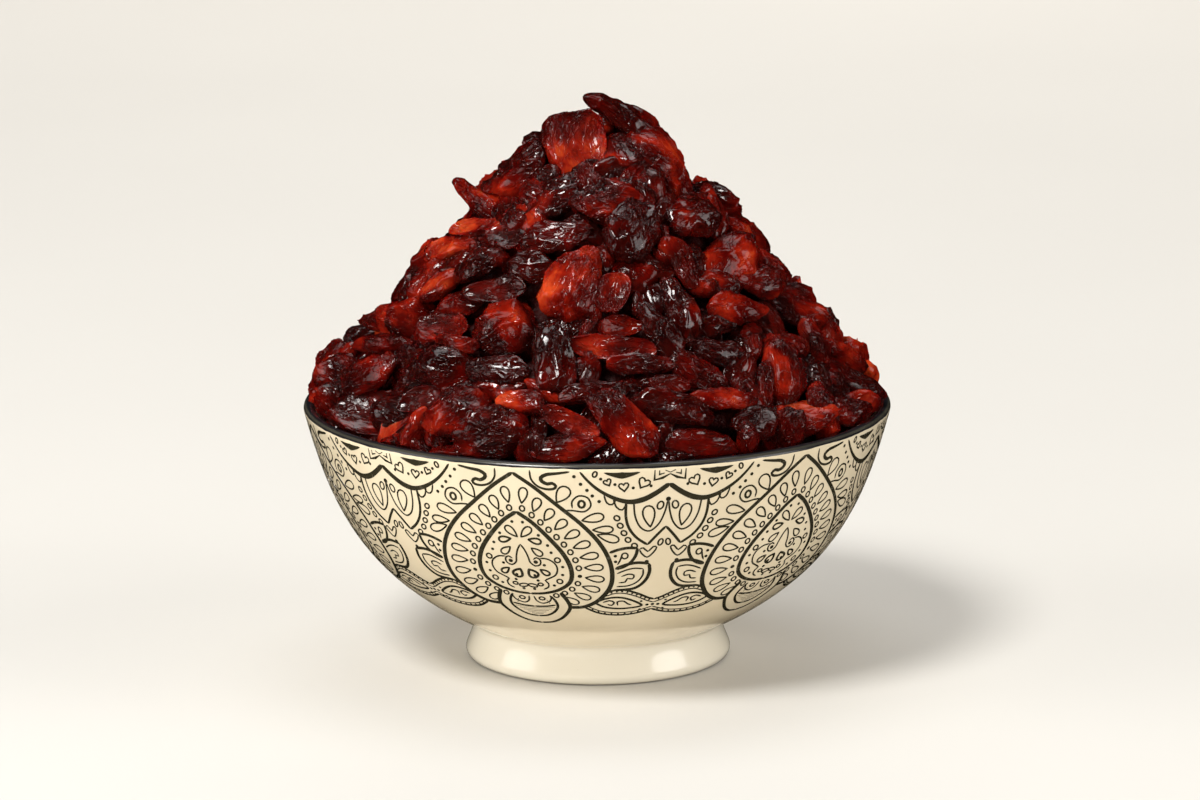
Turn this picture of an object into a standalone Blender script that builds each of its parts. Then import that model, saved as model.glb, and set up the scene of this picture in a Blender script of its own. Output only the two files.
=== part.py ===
"""Dried cranberries heaped high in a small footed porcelain bowl.

Frame: metres, +Z up. The origin is the centre of the foot ring, on the surface the bowl stands on.
The front of the heap faces -Y. Two solids: the bowl, turned about Z, and the heap, one solid of a
core that fills the bowl with the cranberries that show fused onto it.
"""

import math

import bmesh
import bpy
import numpy as np

MM = 0.001

# Bowl, from the ground up
FOOT_RADIUS = 26.1 * MM
FOOT_HEIGHT = 7.4 * MM
NECK_RADIUS = 24.6 * MM
FOOT_RING_INNER = 21.0 * MM
FOOT_RECESS = 3.2 * MM
RIM_RADIUS = 57.5 * MM
RIM_HEIGHT = 51.5 * MM
LIP_THICKNESS = 2.2 * MM
FLOOR_HEIGHT = 11.4 * MM
FLOOR_RADIUS = 13.0 * MM
BELLY_REACH = 22.4 * MM
BELLY_SLOPE = 0.48
WALL_REACH = 18.6 * MM
WALL_LEAN = 0.26
INNER_BELLY_REACH = 23.0 * MM
INNER_WALL_REACH = 20.0 * MM
BOWL_SEGMENTS = 48
WALL_STEPS = 9
INNER_STEPS = 7

# Heap above the rim: its envelope, and the core under it
HEAP_RISE = 62.0 * MM
HEAP_BASE_RADIUS = 56.0 * MM
HEAP_TAPER = 0.75
SLOPE_SHARE = 0.75
CORE_DEPTH = 4.0 * MM
CORE_STEPS = 6
CORE_SEGMENTS = 24
GAP = 0.35 * MM
BERRY_GAP = 0.5 * MM

# Cranberries: sizes, then the dents, taper and bend of the collapsed skin, then their facets
FILL_COUNT = 67
LARGEST = 15.5 * MM
SMALLEST = 9.0 * MM
LONGEST_SHOWN = 17.5 * MM
GROWTH = 1.13
WIDTH_SHARE = (0.58, 0.82)
THICKNESS_SHARE = 0.66
THINNEST = 3.4 * MM
THICKEST = 7.6 * MM
FULLNESS = 2.2
DENTS = 4
DENT_DEPTH = (0.08, 0.28)
DENT_SPREAD = (0.10, 0.30)
TAPER = 0.28
BEND = 0.35
TWIST = 0.7
LUMP = 0.1
LUMP_SPACING = 1.3
AROUND = 6
ALONG = 4
GAP_AROUND = 5
GAP_ALONG = 3
FACET_GROWTH = 1.08

# How the cranberries are laid and come to rest
LAYOUT_SEED = 3
FILL_LOW = -2.0 * MM
FILL_TOP = 0.93
TRIES_PER_BERRY = 60
LEAN = 0.22
SETTLE_STEPS = 90
BALL_SHARE = 0.45
PUSH_SHARE = 0.22
PULL_SHARE = 0.25
STIFF_ARM = 3.0 * MM
PLACED_TRAVEL = 2.5 * MM
GAP_DEPTH = 1.6 * MM
BITE = 0.8 * MM
SMALL_STEP = 0.2 * MM

# The front view in which the shown cranberries are given: looking this far down, from this far away
VIEW_TILT = math.radians(12.5)
VIEW_DISTANCE = 1.15
ACROSS = np.array((1.0, 0.0, 0.0))
UP = np.array((0.0, math.sin(VIEW_TILT), math.cos(VIEW_TILT)))
SIGHT = np.array((0.0, math.cos(VIEW_TILT), -math.sin(VIEW_TILT)))

# The 26 directions from a cube's middle to its faces, edges and corners
ALL_WAYS = np.array([way for way in np.ndindex(3, 3, 3) if way != (1, 1, 1)]) - 1.0
ALL_WAYS /= np.linalg.norm(ALL_WAYS, axis=1)[:, None]

# The cranberries that make the outline and stand out in front: across and up from the rim's centre
# in the front view, length and width, all in millimetres, and the tilt of the long axis in degrees.
SHOW_BERRIES = (
    (4.6, 55.8, 16.0, 6.9, -32),
    (-3.9, 48.0, 17.3, 11.6, 94),
    (-15.4, 43.4, 14.3, 9.2, 33),
    (-22.2, 38.6, 13.3, 4.9, -36),
    (12.6, 45.6, 16.1, 11.4, -42),
    (2.1, 37.8, 13.7, 8.8, 0),
    (7.0, 32.5, 12.5, 10.2, 70),
    (-7.9, 31.5, 12.2, 6.7, 10),
    (-23.9, 33.7, 10.8, 4.3, -5),
    (-28.5, 29.8, 11.8, 5.1, 8),
    (-32.8, 23.1, 11.0, 8.2, 55),
    (-23.0, 26.3, 10.2, 6.3, 20),
    (-20.4, 21.5, 11.4, 4.9, 3),
    (-12.8, 25.9, 8.8, 5.9, 0),
    (-4.2, 22.8, 15.7, 10.2, 62),
    (2.9, 20.4, 7.8, 6.3, 90),
    (16.6, 26.6, 10.2, 5.5, -60),
    (18.2, 35.3, 9.8, 7.8, 20),
    (23.1, 36.5, 9.0, 5.5, 100),
    (27.2, 33.3, 5.5, 3.9, -20),
    (25.7, 26.5, 12.2, 10.2, 50),
    (33.5, 26.6, 8.2, 5.5, -35),
    (32.3, 22.3, 8.8, 5.9, 0),
    (37.8, 17.0, 12.2, 8.2, -15),
    (27.4, 17.4, 10.8, 5.9, 0),
    (16.3, 17.8, 11.4, 6.7, -65),
    (12.3, 13.3, 12.2, 5.9, -55),
    (23.7, 9.0, 9.0, 4.7, -5),
    (-18.1, 13.3, 12.9, 11.8, 0),
    (-19.6, 5.3, 11.8, 5.5, 0),
    (-8.3, 7.2, 12.2, 7.5, 90),
    (2.9, 10.0, 14.7, 4.7, -5),
    (9.4, 7.0, 13.7, 4.3, 0),
    (-40.2, 15.7, 13.7, 6.7, -6),
    (-30.4, 14.3, 9.4, 6.7, 0),
    (-41.6, 10.4, 11.8, 3.5, 0),
    (-27.9, 11.2, 7.8, 3.5, -15),
    (-51.4, 3.9, 11.4, 8.6, 62),
    (-43.9, 3.7, 11.4, 7.5, 30),
    (-54.1, -2.2, 7.5, 4.7, -5),
    (-32.4, 4.7, 14.7, 9.0, 15),
    (-43.7, -4.1, 15.3, 10.2, 10),
    (-34.7, -6.7, 7.8, 3.1, 60),
    (-26.9, -4.3, 11.8, 9.8, 30),
    (-20.4, -7.9, 13.7, 9.0, 10),
    (-14.7, -1.8, 9.0, 3.7, -5),
    (-5.7, -10.8, 13.7, 5.1, 5),
    (-5.7, -5.9, 11.8, 4.3, -25),
    (4.9, -6.3, 16.1, 7.8, -45),
    (14.9, -3.2, 15.3, 6.5, -14),
    (20.2, -10.2, 13.3, 5.3, 0),
    (24.5, -1.0, 12.2, 4.3, 0),
    (30.0, -6.3, 7.8, 6.3, 0),
    (36.1, 4.7, 13.7, 9.4, 100),
    (39.2, -5.7, 17.6, 7.5, 15),
    (47.8, 7.2, 10.2, 4.7, -33),
    (49.6, 1.4, 14.9, 7.1, -25),
    (49.2, -4.1, 7.8, 5.5, 10),
    (42.1, 10.4, 8.2, 5.9, -70),
    (19.2, 4.3, 11.0, 6.7, -30),
    (-0.4, 0.6, 12.9, 3.9, 5),
)

# Smaller ones that show between them, a little deeper
GAP_BERRIES = (
    (-15.1, 36.6, 7.5, 3.1, 22),
    (-17.9, 31.7, 7.8, 5.5, 5),
    (13.1, 31.5, 4.7, 2.0, -65),
    (10.6, 25.5, 9.0, 4.7, -28),
    (-1.2, 15.1, 7.5, 3.9, 75),
    (9.4, 19.2, 7.8, 5.1, 80),
    (4.9, 14.3, 8.6, 3.9, 8),
    (13.5, 37.2, 6.7, 4.7, 60),
    (19.6, 38.4, 5.9, 4.3, 0),
    (29.8, 23.9, 5.5, 3.9, 60),
    (21.2, 21.5, 5.9, 4.3, 0),
    (23.5, 14.1, 7.5, 4.3, 5),
    (30.4, 9.4, 5.1, 3.9, 90),
    (28.2, 3.9, 7.1, 5.1, 85),
    (9.4, 1.9, 7.5, 3.5, 10),
    (-2.2, 5.7, 6.7, 4.7, 80),
    (-10.2, 0.6, 9.0, 2.4, -32),
    (-19.0, 1.4, 9.8, 4.7, 0),
    (-47.9, 6.8, 5.9, 3.5, 65),
    (-37.7, -9.4, 6.3, 2.7, 5),
    (-31.4, -7.5, 6.7, 3.5, 90),
    (-33.9, -1.4, 7.5, 5.1, 20),
    (-26.5, 18.4, 7.8, 4.7, 10),
    (-9.4, 13.1, 5.9, 3.9, 0),
    (13.9, 1.9, 7.5, 3.9, -10),
    (12.7, -8.6, 6.7, 3.5, 80),
    (42.7, 1.5, 8.2, 4.3, -65),
    (32.1, 1.2, 8.6, 3.5, 88),
    (53.1, -1.6, 5.5, 3.9, -40),
    (-11.0, -7.9, 7.5, 3.5, 90),
    (-1.0, -5.1, 8.2, 4.3, 60),
    (19.2, 10.2, 5.1, 3.1, 0),
    (-32.8, 10.8, 6.7, 3.9, 20),
    (-4.9, -0.0, 7.8, 3.5, 5),
    (1.0, 28.0, 7.8, 5.1, 100),
    (37.8, 10.4, 7.1, 4.3, -20),
)

# The outline of the heap in the front view, across and up: what lies behind stays under it
OUTLINE_ACROSS = np.array((-60, -52, -46, -37, -30, -20, -12, -3, 3, 10, 18, 26, 34, 42, 50, 60)) * MM
OUTLINE_UP = np.array((4, 10, 17, 24, 33, 44, 48, 54, 56, 52, 46, 40, 31, 20, 10, 4)) * MM


def unit(vector):
    return vector / np.linalg.norm(vector)


def bezier(p0, p1, p2, p3, steps):
    """Points on a cubic curve, both ends included."""
    t = np.linspace(0.0, 1.0, steps + 1)[:, None]
    corners = [np.array(p) for p in (p0, p1, p2, p3)]
    weights = ((1 - t) ** 3, 3 * (1 - t) ** 2 * t, 3 * (1 - t) * t**2, t**3)
    return sum(w * p for w, p in zip(weights, corners))


def outer_wall():
    """The outer wall from the neck above the foot up to the rim."""
    neck = (NECK_RADIUS, FOOT_HEIGHT)
    belly = (NECK_RADIUS + BELLY_REACH, FOOT_HEIGHT + BELLY_REACH * BELLY_SLOPE)
    lip = lip_centre() + (LIP_THICKNESS / 2, 0)
    return bezier(neck, belly, lip - (WALL_REACH * WALL_LEAN, WALL_REACH), lip, WALL_STEPS)


def inner_wall(steps):
    """The inner wall from the edge of the flat floor up to the rim."""
    start = (FLOOR_RADIUS, FLOOR_HEIGHT)
    belly = (FLOOR_RADIUS + INNER_BELLY_REACH, FLOOR_HEIGHT)
    lip = lip_centre() - (LIP_THICKNESS / 2, 0)
    lean = (INNER_WALL_REACH * WALL_LEAN, INNER_WALL_REACH)
    return bezier(start, belly, lip - lean, lip, steps)


def lip_centre():
    return np.array((RIM_RADIUS - LIP_THICKNESS / 2, RIM_HEIGHT - LIP_THICKNESS / 2))


def arc(centre, radius, start, end, steps):
    """Points on an arc, in the (radius, height) plane, angles in degrees."""
    angles = np.radians(np.linspace(start, end, steps + 1))
    return np.array(centre) + radius * np.column_stack((np.cos(angles), np.sin(angles)))


def foot_profile():
    """The foot from its recess out to the contact ring and up its rounded flare to the neck."""
    round_radius = 1.6 * MM
    flare = arc((FOOT_RADIUS - round_radius, round_radius), round_radius, -90, 20, 3)
    waist = [(NECK_RADIUS + 0.1 * MM, 0.74 * FOOT_HEIGHT)]
    recess = [(0.0, FOOT_RECESS), (FOOT_RING_INNER - FOOT_RECESS, FOOT_RECESS), (FOOT_RING_INNER, 0.0)]
    return np.vstack((recess, flare, waist))


def turned(name, profile, segments):
    """A closed solid turned about Z from a profile whose two ends lie on the axis."""
    mesh = bpy.data.meshes.new(name)
    shape = bmesh.new()
    points = [shape.verts.new((r, 0.0, z)) for r, z in profile]
    edges = [shape.edges.new(pair) for pair in zip(points[:-1], points[1:])]
    bmesh.ops.spin(
        shape,
        geom=points + edges,
        cent=(0, 0, 0),
        axis=(0, 0, 1),
        angle=2 * math.pi,
        steps=segments,
        use_merge=True,
    )
    bmesh.ops.remove_doubles(shape, verts=shape.verts, dist=0.01 * MM)
    bmesh.ops.recalc_face_normals(shape, faces=shape.faces)
    shape.to_mesh(mesh)
    shape.free()
    made = bpy.data.objects.new(name, mesh)
    bpy.context.collection.objects.link(made)
    return made


def envelope_radius(height):
    """The heap's outer radius at a height above the rim."""
    left = np.clip(1 - height / HEAP_RISE, 0.0, None)
    return HEAP_BASE_RADIUS * left**HEAP_TAPER


def envelope_normal(point):
    """The slope's outward normal below or at a point."""
    height = np.clip(point[2] - RIM_HEIGHT, 0.0, 0.97 * HEAP_RISE)
    fall = HEAP_BASE_RADIUS * HEAP_TAPER / HEAP_RISE * (1 - height / HEAP_RISE) ** (HEAP_TAPER - 1)
    reach = max(np.hypot(point[0], point[1]), 0.5 * MM)
    return unit(np.array((point[0] / reach, point[1] / reach, fall)))


def envelope_distance(point):
    """How far a point lies outside the heap's envelope, negative inside."""
    height = point[2] - RIM_HEIGHT
    normal = envelope_normal(point)
    radial = np.hypot(point[0], point[1]) - envelope_radius(height)
    over = max(height - HEAP_RISE, 0.0)
    return radial * np.hypot(normal[0], normal[1]) + over


def front_spot(across, up, depth):
    """The point under the front slope that shows at (across, up) in the front view.

    What is nearer than the rim's centre shows larger, so its true place is closer in."""
    toward = -HEAP_BASE_RADIUS / 2
    height = up
    for _ in range(40):
        away = VIEW_DISTANCE + toward * math.cos(VIEW_TILT) - height * math.sin(VIEW_TILT)
        scale = away / VIEW_DISTANCE
        height = (up * scale - toward * math.sin(VIEW_TILT)) / math.cos(VIEW_TILT)
        radius = envelope_radius(height) - depth
        toward = (toward - math.sqrt(max(radius**2 - (across * scale) ** 2, 0.0))) / 2
    return np.array((across * scale, toward, RIM_HEIGHT + height))


def seen_axis(tilt, normal, length):
    """The direction in the slope that shows at this tilt in the front view, and its true length.

    One that would come out too long stands steeper than the slope instead."""
    angle = math.radians(tilt)
    shown = math.cos(angle) * ACROSS + math.sin(angle) * UP
    steepest = min(math.sqrt(max((LONGEST_SHOWN / length) ** 2 - 1, 0.0)), 0.8)
    slant = np.clip(-(shown @ normal) / min(SIGHT @ normal, -0.35), -steepest, steepest)
    along = shown + slant * SIGHT
    return unit(along), length * np.linalg.norm(along)


def thickness(width):
    return float(np.clip(THICKNESS_SHARE * width, THINNEST, THICKEST))


def frame_of(along, normal):
    """Three axes as columns: along, sideways, and as near the normal as along allows."""
    side = unit(np.cross(normal, along))
    return np.column_stack((along, side, np.cross(along, side)))


def berry(centre, along, normal, length, width, depth=0.0, placed=False):
    """A cranberry's place, axes, half sizes and depth under the slope, and whether the front view
    placed it."""
    size = GROWTH * np.array((length, width, thickness(width))) / 2
    axes = frame_of(along, normal)
    return {
        "centre": centre, "axes": axes, "size": size, "depth": depth,
        "placed": placed, "start": centre,
    }


def shown_berries():
    """The cranberries that the front view shows, each lying in the slope where that view has it."""
    made = []
    for rows, depth in ((SHOW_BERRIES, 0.0), (GAP_BERRIES, GAP_DEPTH)):
        for across, up, length, width, tilt in rows:
            under = depth + thickness(width * MM) / 2
            centre = front_spot(across * MM, up * MM, under / SLOPE_SHARE)
            normal = envelope_normal(centre)
            along, true_length = seen_axis(tilt, normal, length * MM)
            made.append(berry(centre, along, normal, true_length, width * MM, depth, True))
    return made


def random_spot(rng):
    """A point on the envelope, every patch of slope as likely as any other of its size."""
    while True:
        height = rng.uniform(FILL_LOW, FILL_TOP * HEAP_RISE)
        if rng.uniform(0, HEAP_BASE_RADIUS) < envelope_radius(height):
            break
    angle = rng.uniform(0, 2 * math.pi)
    radius = envelope_radius(height)
    return np.array((radius * math.cos(angle), radius * math.sin(angle), RIM_HEIGHT + height))


def fill_berries(shown, rng):
    """More cranberries, the largest first, each in the widest gap of its tries."""
    made = list(shown)
    for length in np.linspace(LARGEST, SMALLEST, FILL_COUNT):
        width = length * rng.uniform(*WIDTH_SHARE)
        spots = np.array([random_spot(rng) for _ in range(TRIES_PER_BERRY)])
        taken = np.array([b["centre"] for b in made])
        reach = np.array([math.sqrt(b["size"][0] * b["size"][1]) for b in made])
        clear = np.linalg.norm(spots[:, None] - taken[None], axis=2) - reach[None]
        spot = spots[clear.min(axis=1).argmax()]
        normal = unit(envelope_normal(spot) + rng.normal(0, LEAN, 3))
        along = unit(np.cross(normal, rng.normal(0, 1, 3)))
        centre = spot - thickness(width) / 2 * normal
        made.append(berry(centre, along, normal, length, width))
    return made


def lip_push(point, radius):
    """How a ball that meets the bowl's lip or inner wall has to move to come clear of it."""
    reach = math.hypot(point[0], point[1])
    inward = -np.array((point[0], point[1], 0.0)) / max(reach, MM)
    lip = lip_centre()
    push = np.zeros(3)
    apart = np.array((reach, point[2])) - lip
    short = radius + LIP_THICKNESS / 2 + GAP - np.linalg.norm(apart)
    if short > 0:
        away = apart / max(np.linalg.norm(apart), 0.01 * MM)
        push += short * (np.array((0, 0, 1.0)) * away[1] - inward * away[0])
    if point[2] < lip[1]:
        wall = lip[0] - LIP_THICKNESS / 2 - WALL_LEAN * (lip[1] - point[2])
        push += inward * max(reach + radius + GAP - wall, 0.0)
    return push


def outline_push(point, radius):
    """How a ball that would show above the outline in the front view has to sink into the slope."""
    toward, height = point[1], point[2] - RIM_HEIGHT
    scale = 1 + (toward * math.cos(VIEW_TILT) - height * math.sin(VIEW_TILT)) / VIEW_DISTANCE
    up = (height * math.cos(VIEW_TILT) + toward * math.sin(VIEW_TILT)) / scale
    over = up + radius - np.interp(point[0] / scale, OUTLINE_ACROSS, OUTLINE_UP)
    return -max(over, 0.0) * envelope_normal(point)


def settle(berries):
    """Pushes the cranberries apart, and back to the slope, as if they rested on each other.

    Each stands for three balls in a row along its length. Those that the front view places move only
    along the line of sight, so that they still show where they were put; the others stay under the
    outline."""
    radius = np.array([BALL_SHARE * (b["size"][1] + b["size"][2]) for b in berries])
    half_run = np.array([b["size"][0] for b in berries]) - radius
    order = np.tile(np.arange(len(berries)), 3)
    touch = radius[order][:, None] + radius[order][None]
    touch[order[:, None] == order[None]] = 0.0
    for _ in range(SETTLE_STEPS):
        centres = np.array([b["centre"] for b in berries])
        along = np.array([b["axes"][:, 0] for b in berries])
        balls = np.concatenate([centres + end * half_run[:, None] * along for end in (-1, 0, 1)])
        apart = balls[:, None] - balls[None]
        gap = np.linalg.norm(apart, axis=2)
        overlap = np.clip(touch - gap, 0.0, None) / (gap + 1e-9)
        push = PUSH_SHARE * (apart * overlap[:, :, None]).sum(axis=1)
        push += [lip_push(p, r) + outline_push(p, r) for p, r in zip(balls, radius[order])]
        for k, one in enumerate(berries):
            mine = order == k
            sink = envelope_distance(centres[k]) + one["size"][2] + one["depth"]
            move = push[mine].mean(axis=0) - PULL_SHARE * sink * envelope_normal(centres[k])
            if one["placed"]:
                travel = (centres[k] + move - one["start"]) @ SIGHT
                one["centre"] = one["start"] + np.clip(travel, -PLACED_TRAVEL, PLACED_TRAVEL) * SIGHT
                continue
            turn = np.cross(balls[mine] - centres[k], push[mine]).sum(axis=0)
            turn /= 2 * half_run[k] ** 2 + STIFF_ARM**2
            one["centre"] = centres[k] + move
            one["axes"] = frame_of(unit(along[k] + np.cross(turn, along[k])), one["axes"][:, 2])
    return berries


def room(heights):
    """The radius that is free for the fruit at each height: inside the wall, by the lip, above it."""
    wall = inner_wall(INNER_STEPS)
    lip = lip_centre()
    free = np.interp(heights, wall[:, 1], wall[:, 0]) - BERRY_GAP
    round_lip = (LIP_THICKNESS / 2 + BERRY_GAP) ** 2 - np.clip(heights - lip[1], 0, None) ** 2
    over = np.where(round_lip > 0, lip[0] - np.sqrt(np.clip(round_lip, 0, None)), RIM_RADIUS - BERRY_GAP)
    return np.where(heights > lip[1], over, free)


def probes(points, faces):
    """A cranberry's corners, the middles of its faces and the middles of its sides."""
    middles = [points[list(face)].mean(axis=0) for face in faces]
    sides = [(points[a] + points[b]) / 2 for face in faces for a, b in zip(face, face[1:] + face[:1])]
    return np.vstack((points, middles, sides))


def seat(one, points, faces):
    """The move that takes a cranberry in until it bites into the core, and then clear of the bowl."""
    spots = probes(points, faces)
    rise = spots[:, 2] - RIM_HEIGHT
    above_core = np.hypot(spots[:, 0], spots[:, 1]) - envelope_radius(rise) + CORE_DEPTH
    short = max(above_core.min() * SLOPE_SHARE + BITE, 0.0)
    move = -short * envelope_normal(one["centre"])
    step = SMALL_STEP * unit(unit(-one["centre"] * (1, 1, 0)) + (0, 0, 0.4))
    for _ in range(60):
        here = spots + move
        if (np.hypot(here[:, 0], here[:, 1]) < room(here[:, 2])).all():
            break
        move = move + step
    return move


def unit_grid(around, along):
    """Directions on a ball whose poles lie on X, with the faces that join them."""
    turn = np.arange(around) * 2 * math.pi / around
    fall = np.arange(1, along) * math.pi / along
    rings = np.stack(
        (
            np.repeat(np.cos(fall)[:, None], around, 1),
            np.sin(fall)[:, None] * np.cos(turn),
            np.sin(fall)[:, None] * np.sin(turn),
        ),
        axis=-1,
    )
    points = np.vstack(((1.0, 0, 0), rings.reshape(-1, 3), (-1.0, 0, 0)))
    last = len(points) - 1
    faces = []
    for i in range(around):
        j = (i + 1) % around
        faces.append((0, 1 + i, 1 + j))
        for ring in range(along - 2):
            low = 1 + ring * around
            faces.append((low + i, low + around + i, low + around + j, low + j))
        faces.append((last, last - around + j, last - around + i))
    return points, faces


def berry_form(directions, size, rng):
    """A cranberry's collapsed form: a full egg with dents, bent and twisted along its length, lumpy.

    Each direction is scaled to the half sizes, pinched towards one end, dented where the drying
    skin fell in, bent up or down towards its ends, and turned about its length by an angle that
    grows along it. Then smooth waves in all directions make it uneven, and at last the middle of its
    box is moved to zero."""
    directions = np.vstack((directions, ALL_WAYS))
    taper, bend = rng.uniform(-TAPER, TAPER), rng.uniform(-BEND, BEND)
    twist = rng.uniform(-TWIST, TWIST)
    scale = (np.abs(directions) ** FULLNESS).sum(axis=1) ** (-1 / FULLNESS)
    for _ in range(DENTS):
        place = unit(rng.normal(0, 1, 3))
        depth, spread = rng.uniform(*DENT_DEPTH), rng.uniform(*DENT_SPREAD)
        scale -= depth * np.exp((directions @ place - 1) / spread)
    points = directions * scale[:, None] * size
    x = directions[:, 0]
    points[:, 1:] *= (1 - taper * x)[:, None]
    points[:, 2] += bend * size[2] * (x**2 - 0.33)
    y, z = points[:, 1], points[:, 2]
    c, s = np.cos(twist * x), np.sin(twist * x)
    points = np.column_stack((points[:, 0], c * y - s * z, s * y + c * z))
    wavelength = LUMP_SPACING * 2 * size[1]
    lumps = np.column_stack([waves(points, wavelength, 3, rng) for _ in range(3)])
    points = points + LUMP * size[1] * lumps
    ends = points[-len(ALL_WAYS):]
    return points[:-len(ALL_WAYS)] - (ends.max(axis=0) + ends.min(axis=0)) / 2


def waves(points, wavelength, count, rng):
    """A smooth random field from about -1 to 1: the mean of sines that run in random directions."""
    across = rng.normal(0, 1, (count, 3))
    across *= 2 * math.pi / wavelength / np.linalg.norm(across, axis=1)[:, None]
    return np.sin(points @ across.T + rng.uniform(0, 2 * math.pi, count)).sum(axis=1) / math.sqrt(count)


def mesh_object(name, points, faces, where):
    """A loose mesh of triangles: each face split into a fan from its first corner."""
    mesh = bpy.data.meshes.new(name)
    fans = [(face[0], b, c) for face in faces for b, c in zip(face[1:], face[2:])]
    mesh.from_pydata(points.tolist(), [], fans)
    mesh.validate()
    made = bpy.data.objects.new(name, mesh)
    where.objects.link(made)
    return made


def core_profile():
    """The core: the bowl's floor, up the inside of its wall, and over the heap under the cranberries."""
    wall = inner_wall(INNER_STEPS) + (-GAP, 0.0)
    wall[:, 1] += GAP
    top = RIM_HEIGHT - LIP_THICKNESS
    wall = wall[wall[:, 1] < top]
    heights = np.linspace(0.0, HEAP_RISE - 1.5 * CORE_DEPTH, CORE_STEPS)
    slope = np.column_stack((envelope_radius(heights) - CORE_DEPTH, heights + RIM_HEIGHT))
    crown = [(0.0, RIM_HEIGHT + HEAP_RISE - CORE_DEPTH)]
    return np.vstack(([(0.0, FLOOR_HEIGHT + GAP)], wall, slope, crown))


def fuse(base, pieces):
    """One Boolean union of the base with every piece, applied."""
    join = base.modifiers.new("fuse", "BOOLEAN")
    join.operation = "UNION"
    join.operand_type = "COLLECTION"
    join.collection = pieces
    join.solver = "EXACT"
    bpy.context.view_layer.update()
    graph = bpy.context.evaluated_depsgraph_get()
    fused = bpy.data.meshes.new_from_object(base.evaluated_get(graph))
    base.modifiers.clear()
    base.data = fused
    for piece in list(pieces.objects):
        bpy.data.objects.remove(piece)
    bpy.data.collections.remove(pieces)


def keep_largest(made):
    """Drops loose scraps and the walls of sealed hollows, which are all smaller shells."""
    shape = bmesh.new()
    shape.from_mesh(made.data)
    left, shells = set(shape.faces), []
    while left:
        seed = left.pop()
        shell, edge = {seed}, [seed]
        while edge:
            near = {f for e in edge.pop().edges for f in e.link_faces} & left
            left -= near
            shell |= near
            edge.extend(near)
        shells.append(shell)
    shells.sort(key=len)
    scraps = [f for shell in shells[:-1] for f in shell]
    bmesh.ops.delete(shape, geom=scraps, context="FACES")
    bmesh.ops.triangulate(shape, faces=shape.faces)
    shape.to_mesh(made.data)
    shape.free()


def finish(made, colour, roughness):
    material = bpy.data.materials.new(made.name)
    material.use_nodes = True
    shader = material.node_tree.nodes["Principled BSDF"]
    shader.inputs["Base Color"].default_value = (*colour, 1.0)
    shader.inputs["Roughness"].default_value = roughness
    shader.inputs["Metallic"].default_value = 0.0
    made.data.materials.clear()
    made.data.materials.append(material)


def build_bowl():
    lip = arc(lip_centre(), LIP_THICKNESS / 2, 0, 180, 4)
    inner = inner_wall(INNER_STEPS)[::-1]
    floor = [(0.0, FLOOR_HEIGHT)]
    profile = np.vstack((foot_profile(), outer_wall()[:-1], lip, inner[1:], floor))
    bowl = turned("bowl", profile, BOWL_SEGMENTS)
    bowl.data.shade_smooth()
    bowl.data.set_sharp_from_angle(angle=math.radians(40))
    finish(bowl, (0.87, 0.82, 0.70), 0.12)


def build_heap():
    heap = turned("cranberry_heap", core_profile(), CORE_SEGMENTS)
    pieces = bpy.data.collections.new("pieces")
    bpy.context.scene.collection.children.link(pieces)
    outer_grid, gap_grid = unit_grid(AROUND, ALONG), unit_grid(GAP_AROUND, GAP_ALONG)
    berries = settle(fill_berries(shown_berries(), np.random.default_rng(LAYOUT_SEED)))
    for index, one in enumerate(berries):
        directions, faces = gap_grid if one["depth"] else outer_grid
        rng = np.random.default_rng((LAYOUT_SEED, index))
        size = one["size"] * (1, FACET_GROWTH, FACET_GROWTH)
        form = berry_form(directions, size, rng) @ one["axes"].T + one["centre"]
        mesh_object(f"cranberry_{index}", form + seat(one, form, faces), faces, pieces)
    fuse(heap, pieces)
    keep_largest(heap)
    finish(heap, (0.20, 0.02, 0.015), 0.35)


def main():
    for old in list(bpy.data.objects):
        bpy.data.objects.remove(old)
    build_bowl()
    build_heap()


main()
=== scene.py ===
"""Dried cranberries heaped high in a small footed porcelain bowl with a printed line ornament.

Metres, +Z up, in the frame of the solids: the bowl stands at the origin and its front faces -Y.
The bowl is a turned surface, its ornament thin raised lines on the outer wall, and the heap is made
of single wrinkled cranberries over a dark core.
"""

import math

import bpy
import numpy as np
from mathutils import Matrix, Vector


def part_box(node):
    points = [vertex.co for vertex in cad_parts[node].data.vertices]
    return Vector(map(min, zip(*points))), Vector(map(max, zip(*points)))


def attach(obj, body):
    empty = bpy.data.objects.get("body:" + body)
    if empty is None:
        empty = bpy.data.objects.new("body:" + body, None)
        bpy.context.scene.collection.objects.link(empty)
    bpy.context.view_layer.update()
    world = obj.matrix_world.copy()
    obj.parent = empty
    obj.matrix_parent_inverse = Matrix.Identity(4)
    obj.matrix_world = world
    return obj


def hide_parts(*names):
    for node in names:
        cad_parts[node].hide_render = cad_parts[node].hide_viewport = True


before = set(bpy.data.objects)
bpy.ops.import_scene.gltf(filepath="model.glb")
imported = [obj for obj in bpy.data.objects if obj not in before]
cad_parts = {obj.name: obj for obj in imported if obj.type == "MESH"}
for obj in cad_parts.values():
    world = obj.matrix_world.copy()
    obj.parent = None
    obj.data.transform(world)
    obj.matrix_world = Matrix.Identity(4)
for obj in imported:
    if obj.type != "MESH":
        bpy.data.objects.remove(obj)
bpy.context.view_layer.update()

BOWL_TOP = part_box("bowl")[1]
HEAP_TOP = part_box("cranberry_heap")[1].z
MM = 0.001

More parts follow.
